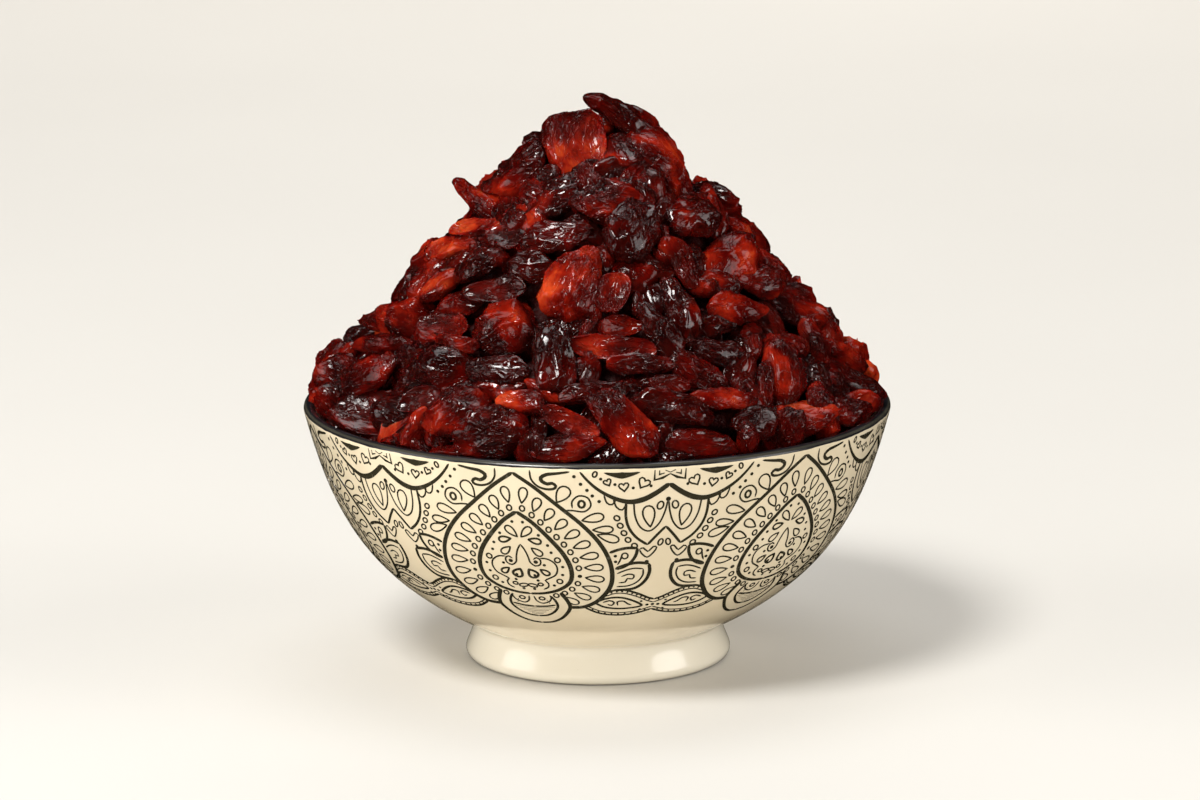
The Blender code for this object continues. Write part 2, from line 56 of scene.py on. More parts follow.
# Bowl, from the ground up: the solid's own sizes
FOOT_RADIUS = 26.1 * MM
FOOT_HEIGHT = 7.4 * MM
FOOT_ROUND = 1.6 * MM
FOOT_ARC = (-90, 20)
FOOT_EDGE = 0.2 * MM
WAIST_LEAVES = np.array((-0.4, 1.3)) * MM
WAIST_ARRIVES = np.array((0.2, 2.0)) * MM
NECK_RADIUS = 24.6 * MM
FOOT_RING_INNER = 21.0 * MM
FOOT_RECESS = 3.2 * MM
RIM_RADIUS = BOWL_TOP.x
RIM_HEIGHT = BOWL_TOP.z
LIP_THICKNESS = 2.2 * MM
LIP_CENTRE = np.array((RIM_RADIUS - LIP_THICKNESS / 2, RIM_HEIGHT - LIP_THICKNESS / 2))
FLOOR_HEIGHT = 11.4 * MM
FLOOR_RADIUS = 13.0 * MM
BELLY_REACH = 22.4 * MM
BELLY_SLOPE = 0.48
WALL_REACH = 18.6 * MM
WALL_LEAN = 0.26
INNER_BELLY_REACH = 23.0 * MM
INNER_WALL_REACH = 20.0 * MM
INNER_STEPS = 7
BOWL_SEGMENTS = 256
FLARE_STEPS, WALL_STEPS, LIP_STEPS, INSIDE_STEPS = 12, 64, 16, 36

# Heap above the rim: its envelope, and the gaps that the fruit keeps to the bowl
HEAP_RISE = 62.0 * MM
HEAP_BASE_RADIUS = 56.0 * MM
HEAP_TAPER = 0.75
NEAR_TOP = 0.97
NEAR_AXIS = 0.5 * MM
SLOPE_SHARE = 0.75
CORE_DEPTH = 4.0 * MM
GAP = 0.35 * MM
BERRY_GAP = 0.5 * MM

# Sizes of the cranberries, and the forms that drying has given them
FILL_COUNT = 67
LARGEST = 15.5 * MM
SMALLEST = 9.0 * MM
LONGEST_SHOWN = 17.5 * MM
GROWTH = 1.13
WIDTH_SHARE = (0.58, 0.82)
THICKNESS_SHARE = 0.66
THINNEST = 3.4 * MM
THICKEST = 7.6 * MM
FULLNESS = 2.2
DENTS = 4
DENT_DEPTH = (0.08, 0.28)
DENT_SPREAD = (0.10, 0.30)
TAPER = 0.28
BEND = 0.35
BEND_LEVEL = 0.33
TWIST = 0.7
LUMP = 0.1
LUMP_SPACING = 1.3

# The few sides of their solids: the outer ones, and those in the gaps
AROUND = 6
ALONG = 4
GAP_AROUND = 5
GAP_ALONG = 3
FACET_GROWTH = 1.08

# Where those lie that the front view doesn't place, and their tones
LAYOUT_SEED = 3
FILL_LOW = -2.0 * MM
FILL_TOP = 0.93
FILL_TONES = (0.42, 0.2)
FILL_TONE_ENDS = (0.02, 0.9)
TONE_SEED = LAYOUT_SEED + 100
TRIES_PER_BERRY = 60
LEAN = 0.22

# How they settle against each other, the slope, the bowl and the core
SETTLE_STEPS = 90
BALL_SHARE = 0.45
PUSH_SHARE = 0.22
PULL_SHARE = 0.25
STIFF_ARM = 3.0 * MM
PLACED_TRAVEL = 2.5 * MM
GAP_DEPTH = 1.6 * MM
BITE = 0.8 * MM
SMALL_STEP = 0.2 * MM
LEAST_LENGTH = 0.01 * MM
TINY = 1e-9
SEAT_TRIES = 60
SEAT_RISE = 0.4

# The front view that places the others: its tilt, distance and three directions
SPOT_ROUNDS = 40
STEEPEST = 0.8
EDGE_ON = 0.35
VIEW_TILT = math.radians(12.5)
VIEW_DISTANCE = 1.15
ACROSS = np.array((1.0, 0.0, 0.0))
UP = np.array((0.0, math.sin(VIEW_TILT), math.cos(VIEW_TILT)))
SIGHT = np.array((0.0, math.cos(VIEW_TILT), -math.sin(VIEW_TILT)))

# The 26 directions from a cube's middle to its faces, edges and corners
ALL_WAYS = np.array([way for way in np.ndindex(3, 3, 3) if way != (1, 1, 1)]) - 1.0
ALL_WAYS /= np.linalg.norm(ALL_WAYS, axis=1)[:, None]

# Skin of a single cranberry: its mesh, its folds and its wrinkles
FINE_AROUND = 60
FINE_ALONG = 40
CROWDING = 0.42
FOLD_CELLS = 12
FOLD_HEIGHT = 0.7 * MM
FOLD_WIDTH = 0.7 * MM
FOLD_MEAN = 0.55
WRINKLE_CELLS = 90
WRINKLE_HEIGHT = 0.26 * MM
WRINKLE_WIDTH = 0.3 * MM
WRINKLE_MEAN = 0.6
LENGTHWISE = 0.6
SWAY = 0.9 * MM
SWAY_SPACING = 9 * MM
FINE_SWAY_SHARE = 0.4
FINE_SWAY_SPACING = 4 * MM
PATCH_SPACING = 13 * MM
PATCH_LEAST = 0.25
FULL_RELIEF_WIDTH = 4.5 * MM
RELIEF_SHARES = (0.5, 1.15)

# Cranberries at the heap's edge, which lean over the lip
LEAN_OVER = 1.4 * MM
LEAN_EDGE = 16 * MM
LEAN_RUN = 7 * MM
TOP_GAP = 0.05 * MM

# The cut that some cranberries have
CUT_SHARE = 0.2
CUT_SLANT = (0.2, 0.35)
CUT_SINK = 1.6
CUT_EDGE = 0.25 * MM
CUT_CALM = 0.65
CUT_LEVEL = (0.2, 0.55)

# Smaller cranberries in the gaps beneath the outer ones, and the core under them
BENEATH_COUNT = 210
BENEATH_SIZES = (11.5 * MM, 8.0 * MM)
BENEATH_DEPTH = 3.0 * MM
BENEATH_LOW = -4.0 * MM
BENEATH_AROUND = 30
BENEATH_ALONG = 16
BENEATH_SEED = 11
# Their tones are drawn darker than the outer ones', as painted shade in the gaps
SHADED_BENEATH_TONES = (0.3, 0.15)
SHADED_BENEATH_TONE_ENDS = (0.02, 0.7)
DARK_CORE_DEPTH = 8.5 * MM
DARK_CORE_START = 4 * MM
DARK_CORE_CROWN = 1.7
DARK_CORE_STEPS = (12, 24)
DARK_CORE_SEGMENTS = 72
DARK_CORE_LUMP = 0.8 * MM
DARK_CORE_LUMP_RISE = 5 * MM
DARK_CORE_WAVES = (9, 5)
DARK_CORE_CLIMB = 700

# Colours in linear light, the two ends where one varies, and the lights
CREAM = ((0.71, 0.605, 0.425), (0.76, 0.655, 0.475))
FOOT_WHITE = (0.87, 0.81, 0.67)
BROWN_SPECK = (0.52, 0.44, 0.32)
BAND_BLACK = (0.010, 0.010, 0.012)
# Olive of the lip's thin-glaze line, which also serves as a painted sheen line
THIN_GLAZE_AND_SHEEN = (0.060, 0.055, 0.040)
BARE_CLAY = (0.62, 0.55, 0.45)
INK = ((0.030, 0.026, 0.014), (0.080, 0.070, 0.044))
FRUIT_STOPS = (
    (0.0, (0.010, 0.0005, 0.0004)),
    (0.25, (0.023, 0.0007, 0.0004)),
    (0.5, (0.074, 0.0013, 0.0005)),
    (0.75, (0.228, 0.0090, 0.0026)),
    (1.0, (0.440, 0.0460, 0.0095)),
)
# Pale red blended along the wrinkle ridges as a painted highlight for their sheen
PAINTED_RIDGE_HIGHLIGHT = (0.09, 0.014, 0.010)
# Near-black red of the heap's core: painted shade for the gaps between the cranberries
CORE_SHADE_RED = ((0.008, 0.001, 0.001), (0.045, 0.004, 0.003))
PALE_FLOOR = ((0.61, 0.597, 0.565), (0.65, 0.637, 0.605))
FLOOR_HALF = 5.0
SURROUND = (1.0, 0.985, 0.96, 1.0)
SURROUND_STRENGTH = 0.18

# Name, place, size, watts, colour, and whether the light shows in the gloss
LIGHTS = (
    ("key", (-0.5, -0.7, 1.2), (0.45, 0.45), 19.0, (1.0, 0.98, 0.95), True),
    ("left_fill", (-1.2, -0.3, 0.5), (0.8, 0.8), 4.0, (1.0, 0.98, 0.96), True),
    ("right_fill", (1.2, -0.5, 0.5), (0.8, 0.8), 5.5, (1.0, 0.98, 0.96), True),
    ("back_fill", (0.1, 1.3, 0.6), (1.4, 0.6), 9.0, (1.0, 0.95, 0.88), False),
    ("left_glow", (-1.3, -0.1, 0.75), (0.9, 0.9), 3.0, (1.0, 0.97, 0.93), False),
    ("right_glow", (1.3, -0.15, 0.75), (0.9, 0.9), 6.0, (1.0, 0.97, 0.93), False),
    ("front_low", (-0.5, -1.2, 0.12), (1.0, 0.3), 8.0, (1.0, 0.97, 0.92), False),
    ("overhead", (0.0, 0.35, 1.2), (0.9, 0.6), 3.6, (1.0, 1.0, 1.0), True),
)

# The cranberries that make the outline and stand out in front: across and up from the rim's centre
# in the front view, length and width, all in millimetres, the tilt of the long axis in degrees, and
# the tone from 0, nearly black, to 1, bright red.
SHOW_BERRIES = (
    (4.6, 55.8, 16.0, 6.9, -32, 0.3),
    (-3.9, 48.0, 17.3, 11.6, 94, 0.7),
    (-15.4, 43.4, 14.3, 9.2, 33, 0.45),
    (-22.2, 38.6, 13.3, 4.9, -36, 0.7),
    (12.6, 45.6, 16.1, 11.4, -42, 0.6),
    (2.1, 37.8, 13.7, 8.8, 0, 0.5),
    (7.0, 32.5, 12.5, 10.2, 70, 0.25),
    (-7.9, 31.5, 12.2, 6.7, 10, 0.35),
    (-23.9, 33.7, 10.8, 4.3, -5, 0.8),
    (-28.5, 29.8, 11.8, 5.1, 8, 0.7),
    (-32.8, 23.1, 11.0, 8.2, 55, 0.75),
    (-23.0, 26.3, 10.2, 6.3, 20, 0.25),
    (-20.4, 21.5, 11.4, 4.9, 3, 0.2),
    (-12.8, 25.9, 8.8, 5.9, 0, 0.2),
    (-4.2, 22.8, 15.7, 10.2, 62, 0.8),
    (2.9, 20.4, 7.8, 6.3, 90, 0.55),
    (16.6, 26.6, 10.2, 5.5, -60, 0.6),
    (18.2, 35.3, 9.8, 7.8, 20, 0.3),
    (23.1, 36.5, 9.0, 5.5, 100, 0.5),
    (27.2, 33.3, 5.5, 3.9, -20, 0.75),
    (25.7, 26.5, 12.2, 10.2, 50, 0.6),
    (33.5, 26.6, 8.2, 5.5, -35, 0.55),
    (32.3, 22.3, 8.8, 5.9, 0, 0.45),
    (37.8, 17.0, 12.2, 8.2, -15, 0.4),
    (27.4, 17.4, 10.8, 5.9, 0, 0.55),
    (16.3, 17.8, 11.4, 6.7, -65, 0.3),
    (12.3, 13.3, 12.2, 5.9, -55, 0.25),
    (23.7, 9.0, 9.0, 4.7, -5, 0.35),
    (-18.1, 13.3, 12.9, 11.8, 0, 0.55),
    (-19.6, 5.3, 11.8, 5.5, 0, 0.25),
    (-8.3, 7.2, 12.2, 7.5, 90, 0.2),
    (2.9, 10.0, 14.7, 4.7, -5, 0.5),
    (9.4, 7.0, 13.7, 4.3, 0, 0.45),
    (-40.2, 15.7, 13.7, 6.7, -6, 0.7),
    (-30.4, 14.3, 9.4, 6.7, 0, 0.4),
    (-41.6, 10.4, 11.8, 3.5, 0, 0.4),
    (-27.9, 11.2, 7.8, 3.5, -15, 0.55),
    (-51.4, 3.9, 11.4, 8.6, 62, 0.6),
    (-43.9, 3.7, 11.4, 7.5, 30, 0.5),
    (-54.1, -2.2, 7.5, 4.7, -5, 0.55),
    (-32.4, 4.7, 14.7, 9.0, 15, 0.25),
    (-43.7, -4.1, 15.3, 10.2, 10, 0.25),
    (-34.7, -6.7, 7.8, 3.1, 60, 0.7),
    (-26.9, -4.3, 11.8, 9.8, 30, 0.45),
    (-20.4, -7.9, 13.7, 9.0, 10, 0.35),
    (-14.7, -1.8, 9.0, 3.7, -5, 0.7),
    (-5.7, -10.8, 13.7, 5.1, 5, 0.55),
    (-5.7, -5.9, 11.8, 4.3, -25, 0.6),
    (4.9, -6.3, 16.1, 7.8, -45, 0.65),
    (14.9, -3.2, 15.3, 6.5, -14, 0.15),
    (20.2, -10.2, 13.3, 5.3, 0, 0.25),
    (24.5, -1.0, 12.2, 4.3, 0, 0.55),
    (30.0, -6.3, 7.8, 6.3, 0, 0.1),
    (36.1, 4.7, 13.7, 9.4, 100, 0.65),
    (39.2, -5.7, 17.6, 7.5, 15, 0.75),
    (47.8, 7.2, 10.2, 4.7, -33, 0.55),
    (49.6, 1.4, 14.9, 7.1, -25, 0.4),
    (49.2, -4.1, 7.8, 5.5, 10, 0.4),
    (42.1, 10.4, 8.2, 5.9, -70, 0.5),
    (19.2, 4.3, 11.0, 6.7, -30, 0.5),
    (-0.4, 0.6, 12.9, 3.9, 5, 0.3),
)

# Smaller ones that show between them, a little deeper
GAP_BERRIES = (
    (-15.1, 36.6, 7.5, 3.1, 22, 0.35),
    (-17.9, 31.7, 7.8, 5.5, 5, 0.3),
    (13.1, 31.5, 4.7, 2.0, -65, 0.7),
    (10.6, 25.5, 9.0, 4.7, -28, 0.15),
    (-1.2, 15.1, 7.5, 3.9, 75, 0.5),
    (9.4, 19.2, 7.8, 5.1, 80, 0.25),
    (4.9, 14.3, 8.6, 3.9, 8, 0.5),
    (13.5, 37.2, 6.7, 4.7, 60, 0.25),
    (19.6, 38.4, 5.9, 4.3, 0, 0.35),
    (29.8, 23.9, 5.5, 3.9, 60, 0.15),
    (21.2, 21.5, 5.9, 4.3, 0, 0.4),
    (23.5, 14.1, 7.5, 4.3, 5, 0.1),
    (30.4, 9.4, 5.1, 3.9, 90, 0.6),
    (28.2, 3.9, 7.1, 5.1, 85, 0.3),
    (9.4, 1.9, 7.5, 3.5, 10, 0.2),
    (-2.2, 5.7, 6.7, 4.7, 80, 0.45),
    (-10.2, 0.6, 9.0, 2.4, -32, 0.65),
    (-19.0, 1.4, 9.8, 4.7, 0, 0.4),
    (-47.9, 6.8, 5.9, 3.5, 65, 0.4),
    (-37.7, -9.4, 6.3, 2.7, 5, 0.5),
    (-31.4, -7.5, 6.7, 3.5, 90, 0.3),
    (-33.9, -1.4, 7.5, 5.1, 20, 0.25),
    (-26.5, 18.4, 7.8, 4.7, 10, 0.3),
    (-9.4, 13.1, 5.9, 3.9, 0, 0.25),
    (13.9, 1.9, 7.5, 3.9, -10, 0.35),
    (12.7, -8.6, 6.7, 3.5, 80, 0.2),
    (42.7, 1.5, 8.2, 4.3, -65, 0.4),
    (32.1, 1.2, 8.6, 3.5, 88, 0.45),
    (53.1, -1.6, 5.5, 3.9, -40, 0.25),
    (-11.0, -7.9, 7.5, 3.5, 90, 0.25),
    (-1.0, -5.1, 8.2, 4.3, 60, 0.6),
    (19.2, 10.2, 5.1, 3.1, 0, 0.3),
    (-32.8, 10.8, 6.7, 3.9, 20, 0.2),
    (-4.9, -0.0, 7.8, 3.5, 5, 0.5),
    (1.0, 28.0, 7.8, 5.1, 100, 0.2),
    (37.8, 10.4, 7.1, 4.3, -20, 0.5),
)

# The outline of the heap in the front view, across and up: what lies behind stays under it
OUTLINE_ACROSS = np.array(
    (-60, -52, -46, -37, -30, -20, -12, -3, 3, 10, 18, 26, 34, 42, 50, 60)
) * MM
OUTLINE_UP = np.array((4, 10, 17, 24, 33, 44, 48, 54, 56, 52, 46, 40, 31, 20, 10, 4)) * MM

# Camera: the photograph's frame, its focal length and the axis' place in it, all in pixels
PHOTO_SIZE = (1200, 800)
FOCAL_LENGTH = 5864.0
AXIS_PIXEL = (597.1, 397.9)
CAMERA_TILT = math.radians(12.55)
CAMERA_ROLL = math.radians(-0.23)
SENSOR_WIDTH = 36.0


def unit(vector):
    """A vector made 1 long."""
    return vector / np.linalg.norm(vector)


def full_turn(steps):
    """Angles in even steps round a full turn."""
    return np.arange(steps) * 2 * math.pi / steps


def run_length(points):
    """How far along a line of points each of them lies."""
    return np.concatenate(((0.0,), np.cumsum(np.linalg.norm(np.diff(points, axis=0), axis=1))))


def bezier(p0, p1, p2, p3, steps):
    """Points on a cubic curve, both ends included."""
    t = np.linspace(0.0, 1.0, steps + 1)[:, None]
    corners = [np.array(p) for p in (p0, p1, p2, p3)]
    weights = ((1 - t) ** 3, 3 * (1 - t) ** 2 * t, 3 * (1 - t) * t**2, t**3)
    return sum(w * p for w, p in zip(weights, corners))


def arc(centre, radius, start, end, steps):
    """Points on an arc, in the (radius, height) plane, angles in degrees."""
    angles = np.radians(np.linspace(start, end, steps + 1))
    return np.array(centre) + radius * np.column_stack((np.cos(angles), np.sin(angles)))


def outer_wall(steps):
    """The outer wall from the neck above the foot up to the rim."""
    neck = (NECK_RADIUS, FOOT_HEIGHT)
    belly = (NECK_RADIUS + BELLY_REACH, FOOT_HEIGHT + BELLY_REACH * BELLY_SLOPE)
    lip = LIP_CENTRE + (LIP_THICKNESS / 2, 0)
    return bezier(neck, belly, lip - (WALL_REACH * WALL_LEAN, WALL_REACH), lip, steps)


def inner_wall(steps):
    """The inner wall from the edge of the flat floor up to the rim."""
    start = (FLOOR_RADIUS, FLOOR_HEIGHT)
    belly = (FLOOR_RADIUS + INNER_BELLY_REACH, FLOOR_HEIGHT)
    lip = LIP_CENTRE - (LIP_THICKNESS / 2, 0)
    lean = (INNER_WALL_REACH * WALL_LEAN, INNER_WALL_REACH)
    return bezier(start, belly, lip - lean, lip, steps)


def mesh_piece(name, points, quads, triangles, attributes=None):
    """A mesh object at the origin from whole arrays of points, four-sided and three-sided faces."""
    mesh = bpy.data.meshes.new(name)
    mesh.vertices.add(len(points))
    mesh.vertices.foreach_set("co", np.asarray(points, np.float32).ravel())
    corners = np.concatenate((np.ravel(quads), np.ravel(triangles))).astype(np.int32)
    sides = np.concatenate((np.full(len(quads), 4), np.full(len(triangles), 3)))
    mesh.loops.add(len(corners))
    mesh.loops.foreach_set("vertex_index", corners)
    mesh.polygons.add(len(sides))
    mesh.polygons.foreach_set("loop_start", (np.cumsum(sides) - sides).astype(np.int32))
    mesh.update(calc_edges=True)
    mesh.validate()
    mesh.shade_smooth()
    for label, values in (attributes or {}).items():
        kind, field = ("FLOAT", "value") if values.ndim == 1 else ("FLOAT_VECTOR", "vector")
        layer = mesh.attributes.new(label, kind, "POINT")
        layer.data.foreach_set(field, np.asarray(values, np.float32).ravel())
    made = bpy.data.objects.new(name, mesh)
    bpy.context.scene.collection.objects.link(made)
    return made


def turned(name, profile, segments, ripple=None):
    """A closed surface: the profile of (radius, height), axis to axis, carried round Z.

    Point (i, j) is at radius r_i times (cos a_j, sin a_j) and height z_i, with a_j in even steps.
    The two ends on the axis are single points. The profile runs from underneath outwards and up."""
    turn = full_turn(segments)
    rings = profile[1:-1]
    radius = rings[:, 0][:, None] + (0 if ripple is None else ripple(rings, turn))
    height = rings[:, 1][:, None] + 0 * turn
    body = np.stack((radius * np.cos(turn), radius * np.sin(turn), height), axis=-1)
    ends = np.array(((0, 0, profile[0, 1]), (0, 0, profile[-1, 1])))
    points = np.vstack((body.reshape(-1, 3), ends))
    return mesh_piece(name, points, *wrapped_faces(len(rings), segments))


def wrapped_faces(rings, around):
    """Faces of rings of points joined in order, closed by the two end points that follow them."""
    here = np.arange(around)
    after = (here + 1) % around
    low = (np.arange(rings - 1) * around)[:, None]
    quads = np.stack((low + here, low + after, low + around + after, low + around + here), axis=-1)
    first, last = rings * around, rings * around + 1
    top = (rings - 1) * around
    start = np.column_stack((np.full(around, first), after, here))
    end = np.column_stack((np.full(around, last), top + here, top + after))
    return quads.reshape(-1, 4), np.vstack((start, end))


class Socket:
    """A shader socket that can be added, multiplied and so on like a number."""

    def __init__(self, finish, out):
        self.finish = finish
        self.out = out

    def math(self, operation, a, b=0.0):
        """A Math node on two values or sockets."""
        return self.finish.node("Math", {"operation": operation}, {0: a, 1: b})

    def __add__(self, other):
        return self.math("ADD", self, other)

    def __sub__(self, other):
        return self.math("SUBTRACT", self, other)

    def __rsub__(self, other):
        return self.math("SUBTRACT", other, self)

    def __mul__(self, other):
        return self.math("MULTIPLY", self, other)

    def __pow__(self, other):
        return self.math("POWER", self, other)

    def __abs__(self):
        return self.math("ABSOLUTE", self)

    __radd__ = __add__
    __rmul__ = __mul__


class Finish:
    """A material with one Principled shader, whose nodes are written as Python expressions."""

    def __init__(self, name, **fixed):
        self.material = bpy.data.materials.new(name)
        self.material.use_nodes = True
        self.tree = self.material.node_tree
        self.shader = self.tree.nodes["Principled BSDF"]
        for label, value in fixed.items():
            socket = label.replace("_", " ").title().replace("Ior", "IOR")
            self.shader.inputs[socket].default_value = value

    def node(self, kind, settings, inputs, output=0):
        """Any shader node: its type, its settings, then the values or links of its sockets."""
        made = self.tree.nodes.new("ShaderNode" + kind)
        for label, value in settings.items():
            if label == "stops":
                ramp = made.color_ramp
                while len(ramp.elements) < len(value):
                    ramp.elements.new(0.5)
                for element, (place, colour) in zip(ramp.elements, value):
                    element.position = place
                    element.color = (*colour, 1.0)
            else:
                setattr(made, label, value)
        for label, value in inputs.items():
            self.feed(made.inputs[label], value)
        return Socket(self, made.outputs[output])

    def feed(self, socket, value):
        """Links a socket to another, or sets its value."""
        if isinstance(value, Socket):
            self.tree.links.new(value.out, socket)
        else:
            socket.default_value = value

    def drive(self, label, value):
        """Feeds the shader's own socket of that name."""
        self.feed(self.shader.inputs[label], value)

    def place(self):
        """Where a point of the piece is, in metres."""
        return self.node("TexCoord", {}, {}, "Object")

    def attribute(self, name, output="Fac"):
        """What the mesh itself holds under this name."""
        return self.node("Attribute", {"attribute_name": name}, {}, output)

    def noise(self, where, size, detail=3.0, roughness=0.55, warp=0.0):
        """Cloudy noise from 0 to 1 whose features are about this large, in the units of where."""
        inputs = {"Vector": where, "Scale": 1 / size, "Detail": detail}
        inputs |= {"Roughness": roughness, "Distortion": warp}
        return self.node("TexNoise", {}, inputs)

    def cell_edges(self, where, size):
        """The distance to the nearest edge between cells that are about this large."""
        settings = {"feature": "DISTANCE_TO_EDGE"}
        return self.node("TexVoronoi", settings, {"Vector": where, "Scale": 1 / size})

    def ease(self, value, low, high, start=0.0, end=1.0):
        """Goes smoothly from start to end as the value goes from low to high."""
        inputs = {"Value": value, "From Min": low, "From Max": high, "To Min": start, "To Max": end}
        return self.node("MapRange", {"interpolation_type": "SMOOTHSTEP"}, inputs)

    def blend(self, share, first, second):
        """A colour between two."""
        inputs = {"Factor": share, 6: rgba(first), 7: rgba(second)}
        return self.node("Mix", {"data_type": "RGBA"}, inputs, 2)

    def bump(self, height, depth, below=None):
        """Relief in metres, on top of another relief if one is given."""
        inputs = {"Height": height, "Distance": depth, "Strength": 1.0}
        if below is not None:
            inputs["Normal"] = below
        return self.node("Bump", {}, inputs)


def rgba(colour):
    """A colour as a colour socket takes it."""
    return colour if isinstance(colour, Socket) else (*colour, 1.0)


def dress(piece, finish, slot, *nodes):
    """Gives a piece its material and its body, and hides the solids that it stands for. The slot is
    not used.
    """
    piece.data.materials.append(finish.material)
    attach(piece, "root")
    if nodes:
        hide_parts(*nodes)


def porcelain():
    """Cream glaze with faint clouds and specks, whiter at the foot, and a bare ring to stand on.

    A black band runs over the lip. Round the lip's outer side it turns olive in a line: partly the
    glaze run thin over the black, partly a painted sheen line along the lip."""
    finish = Finish("cream_glaze", coat_roughness=0.09, ior=1.5)
    where = finish.place()
    x, y, height = (finish.node("SeparateXYZ", {}, {0: where}, axis) for axis in "XYZ")
    cloud = finish.noise(where, 14 * MM, 4.0)
    colour = finish.blend(finish.ease(cloud, 0.3, 0.7), *CREAM)
    foot = finish.ease(height, FOOT_HEIGHT + 2 * MM, FOOT_HEIGHT - 1.5 * MM)
    colour = finish.blend(foot, colour, FOOT_WHITE)
    speck = finish.ease(finish.noise(where, 0.7 * MM, 2.0), 0.72, 0.80)
    colour = finish.blend(speck * 0.25, colour, BROWN_SPECK)
    edge = finish.noise(where, 5 * MM, 2.0) * (0.4 * MM)
    band = finish.ease(height - edge, RIM_HEIGHT - 1.15 * MM, RIM_HEIGHT - 1.05 * MM)
    colour = finish.blend(band, colour, BAND_BLACK)
    outer = finish.ease((x * x + y * y) ** 0.5, LIP_CENTRE[0], LIP_CENTRE[0] + 0.4 * MM)
    # Olive line round the lip's outer rounding: thin glaze over the black, and a painted sheen line
    # where the lip catches the light
    starts, full, fades, ends = (RIM_HEIGHT - drop * MM for drop in (0.65, 0.45, 0.25, 0.1))
    thin = finish.ease(height, starts, full) * finish.ease(height, fades, ends, 1.0, 0.0) * outer
    colour = finish.blend(thin * (0.2 + 0.9 * cloud), colour, THIN_GLAZE_AND_SHEEN)
    bare = finish.ease(height, 0.35 * MM, 0.2 * MM)
    finish.drive("Base Color", finish.blend(bare, colour, BARE_CLAY))
    finish.drive("Roughness", 0.14 + 0.10 * cloud + 0.55 * bare + 0.02 * band)
    finish.drive("Coat Weight", 0.6 - 0.6 * band)
    ripple = finish.noise(where, 9 * MM, 2.0) + 0.06 * finish.noise(where, 0.5 * MM, 2.0)
    finish.drive("Normal", finish.bump(ripple, 0.06 * MM))
    return finish


def ink():
    """Olive-black ink fired under the glaze, a little thinner where it was printed lightly."""
    finish = Finish("olive_black_ink", coat_weight=0.3, coat_roughness=0.05, ior=1.5)
    thin = finish.noise(finish.place(), 2.2 * MM, 4.0, 0.7)
    finish.drive("Base Color", finish.blend(finish.ease(thin, 0.5, 0.85), *INK))
    finish.drive("Roughness", 0.12 + 0.25 * thin)
    return finish


def build_bowl():
    """The bowl's profile carried round: recess, foot ring, waist, wall, lip, inside and floor."""
    recess = [
        (0.0, FOOT_RECESS),
        (FOOT_RING_INNER - FOOT_RECESS, FOOT_RECESS),
        (FOOT_RING_INNER - FOOT_EDGE, FOOT_EDGE),
        (FOOT_RING_INNER, 0.0),
    ]
    foot = arc((FOOT_RADIUS - FOOT_ROUND, FOOT_ROUND), FOOT_ROUND, *FOOT_ARC, FLARE_STEPS)
    neck = np.array((NECK_RADIUS, FOOT_HEIGHT))
    waist = bezier(foot[-1], foot[-1] + WAIST_LEAVES, neck - WAIST_ARRIVES, neck, FLARE_STEPS)
    wall = outer_wall(WALL_STEPS)
    lip = arc(LIP_CENTRE, LIP_THICKNESS / 2, 0, 180, LIP_STEPS)
    inside = inner_wall(INSIDE_STEPS)[::-1]
    floor = [(0.0, FLOOR_HEIGHT)]
    profile = np.vstack((recess, foot, waist[1:], wall[1:-1], lip, inside[1:], floor))
    bowl = turned("porcelain_bowl", profile, BOWL_SEGMENTS)
    dress(bowl, porcelain(), "porcelain", "bowl")


# Ornament. Places on the outer wall are (angle, drop): degrees from the middle of a medallion, and
# millimetres down the wall from the rim. Each motif is drawn on one side and mirrored, and the
# whole is repeated six times, so 30 degrees is half way to the next medallion.
REPEATS = 6
MEDALLION_AZIMUTH = -16.2
THICK, MIDDLE, THIN = 0.85, 0.55, 0.36
INK_HEIGHT = 0.03 * MM
INK_ROOT = 0.03 * MM
LINE_STEP = 0.45
WALL_TABLE_STEPS = 400
DOT_SIDES = 10
PETAL_SIDES, OVAL_SIDES, HEART_SIDES = 17, 12, 16
LEAST_END = 0.12
SHARP_ANGLE = math.radians(40)
DEGREE_ALONG = 0.9

# Outlines of the medallion and of the leaf in it, and what the ring between them holds
MEDALLION = (
    (0, 2.0), (4.0, 4.9), (9.0, 9.2), (13.1, 12.9), (16.4, 16.8), (18.5, 20.8),
    (19.4, 25.0), (18.9, 28.7), (16.4, 32.4), (12.9, 34.6), (9.2, 35.0),
)
LEAF = (
    (0, 10.4), (3.1, 12.7), (6.5, 16.4), (9.1, 20.0), (10.4, 23.6), (10.0, 26.9),
    (7.4, 29.2), (3.7, 30.5), (0, 30.9),
)
RING_PETALS = 12
RING_BEADS = 14
RING_SHARES = (0.06, 0.93)
FILLED_BEAD = 9


def wall_table():
    """The outer wall from the rim down: length so far in millimetres, radius and height, and how
    fast the radius and the height change along that length."""
    wall = outer_wall(WALL_TABLE_STEPS)[::-1]
    length = (run_length(wall) + LIP_THICKNESS / 2) / MM
    return length, *wall.T, *(np.gradient(column, length) for column in wall.T)


WALL = wall_table()


def wall_at(drop):
    """The wall's radius and height at this drop, and how fast both change there."""
    return [np.interp(drop, WALL[0], column) for column in WALL[1:]]


def degree_width(drop):
    """Millimetres along the wall for one degree at this drop."""
    return wall_at(drop)[0] / MM * math.pi / 180


def on_wall(angle, drop):
    """Points of the outer wall and its outward normals."""
    radius, height, spread, fall = wall_at(drop)
    turn = np.radians(angle + MEDALLION_AZIMUTH)
    points = np.column_stack((radius * np.sin(turn), -radius * np.cos(turn), height))
    normals = np.column_stack((-fall * np.sin(turn), fall * np.cos(turn), spread))
    return points, normals / np.linalg.norm(normals, axis=1)[:, None]


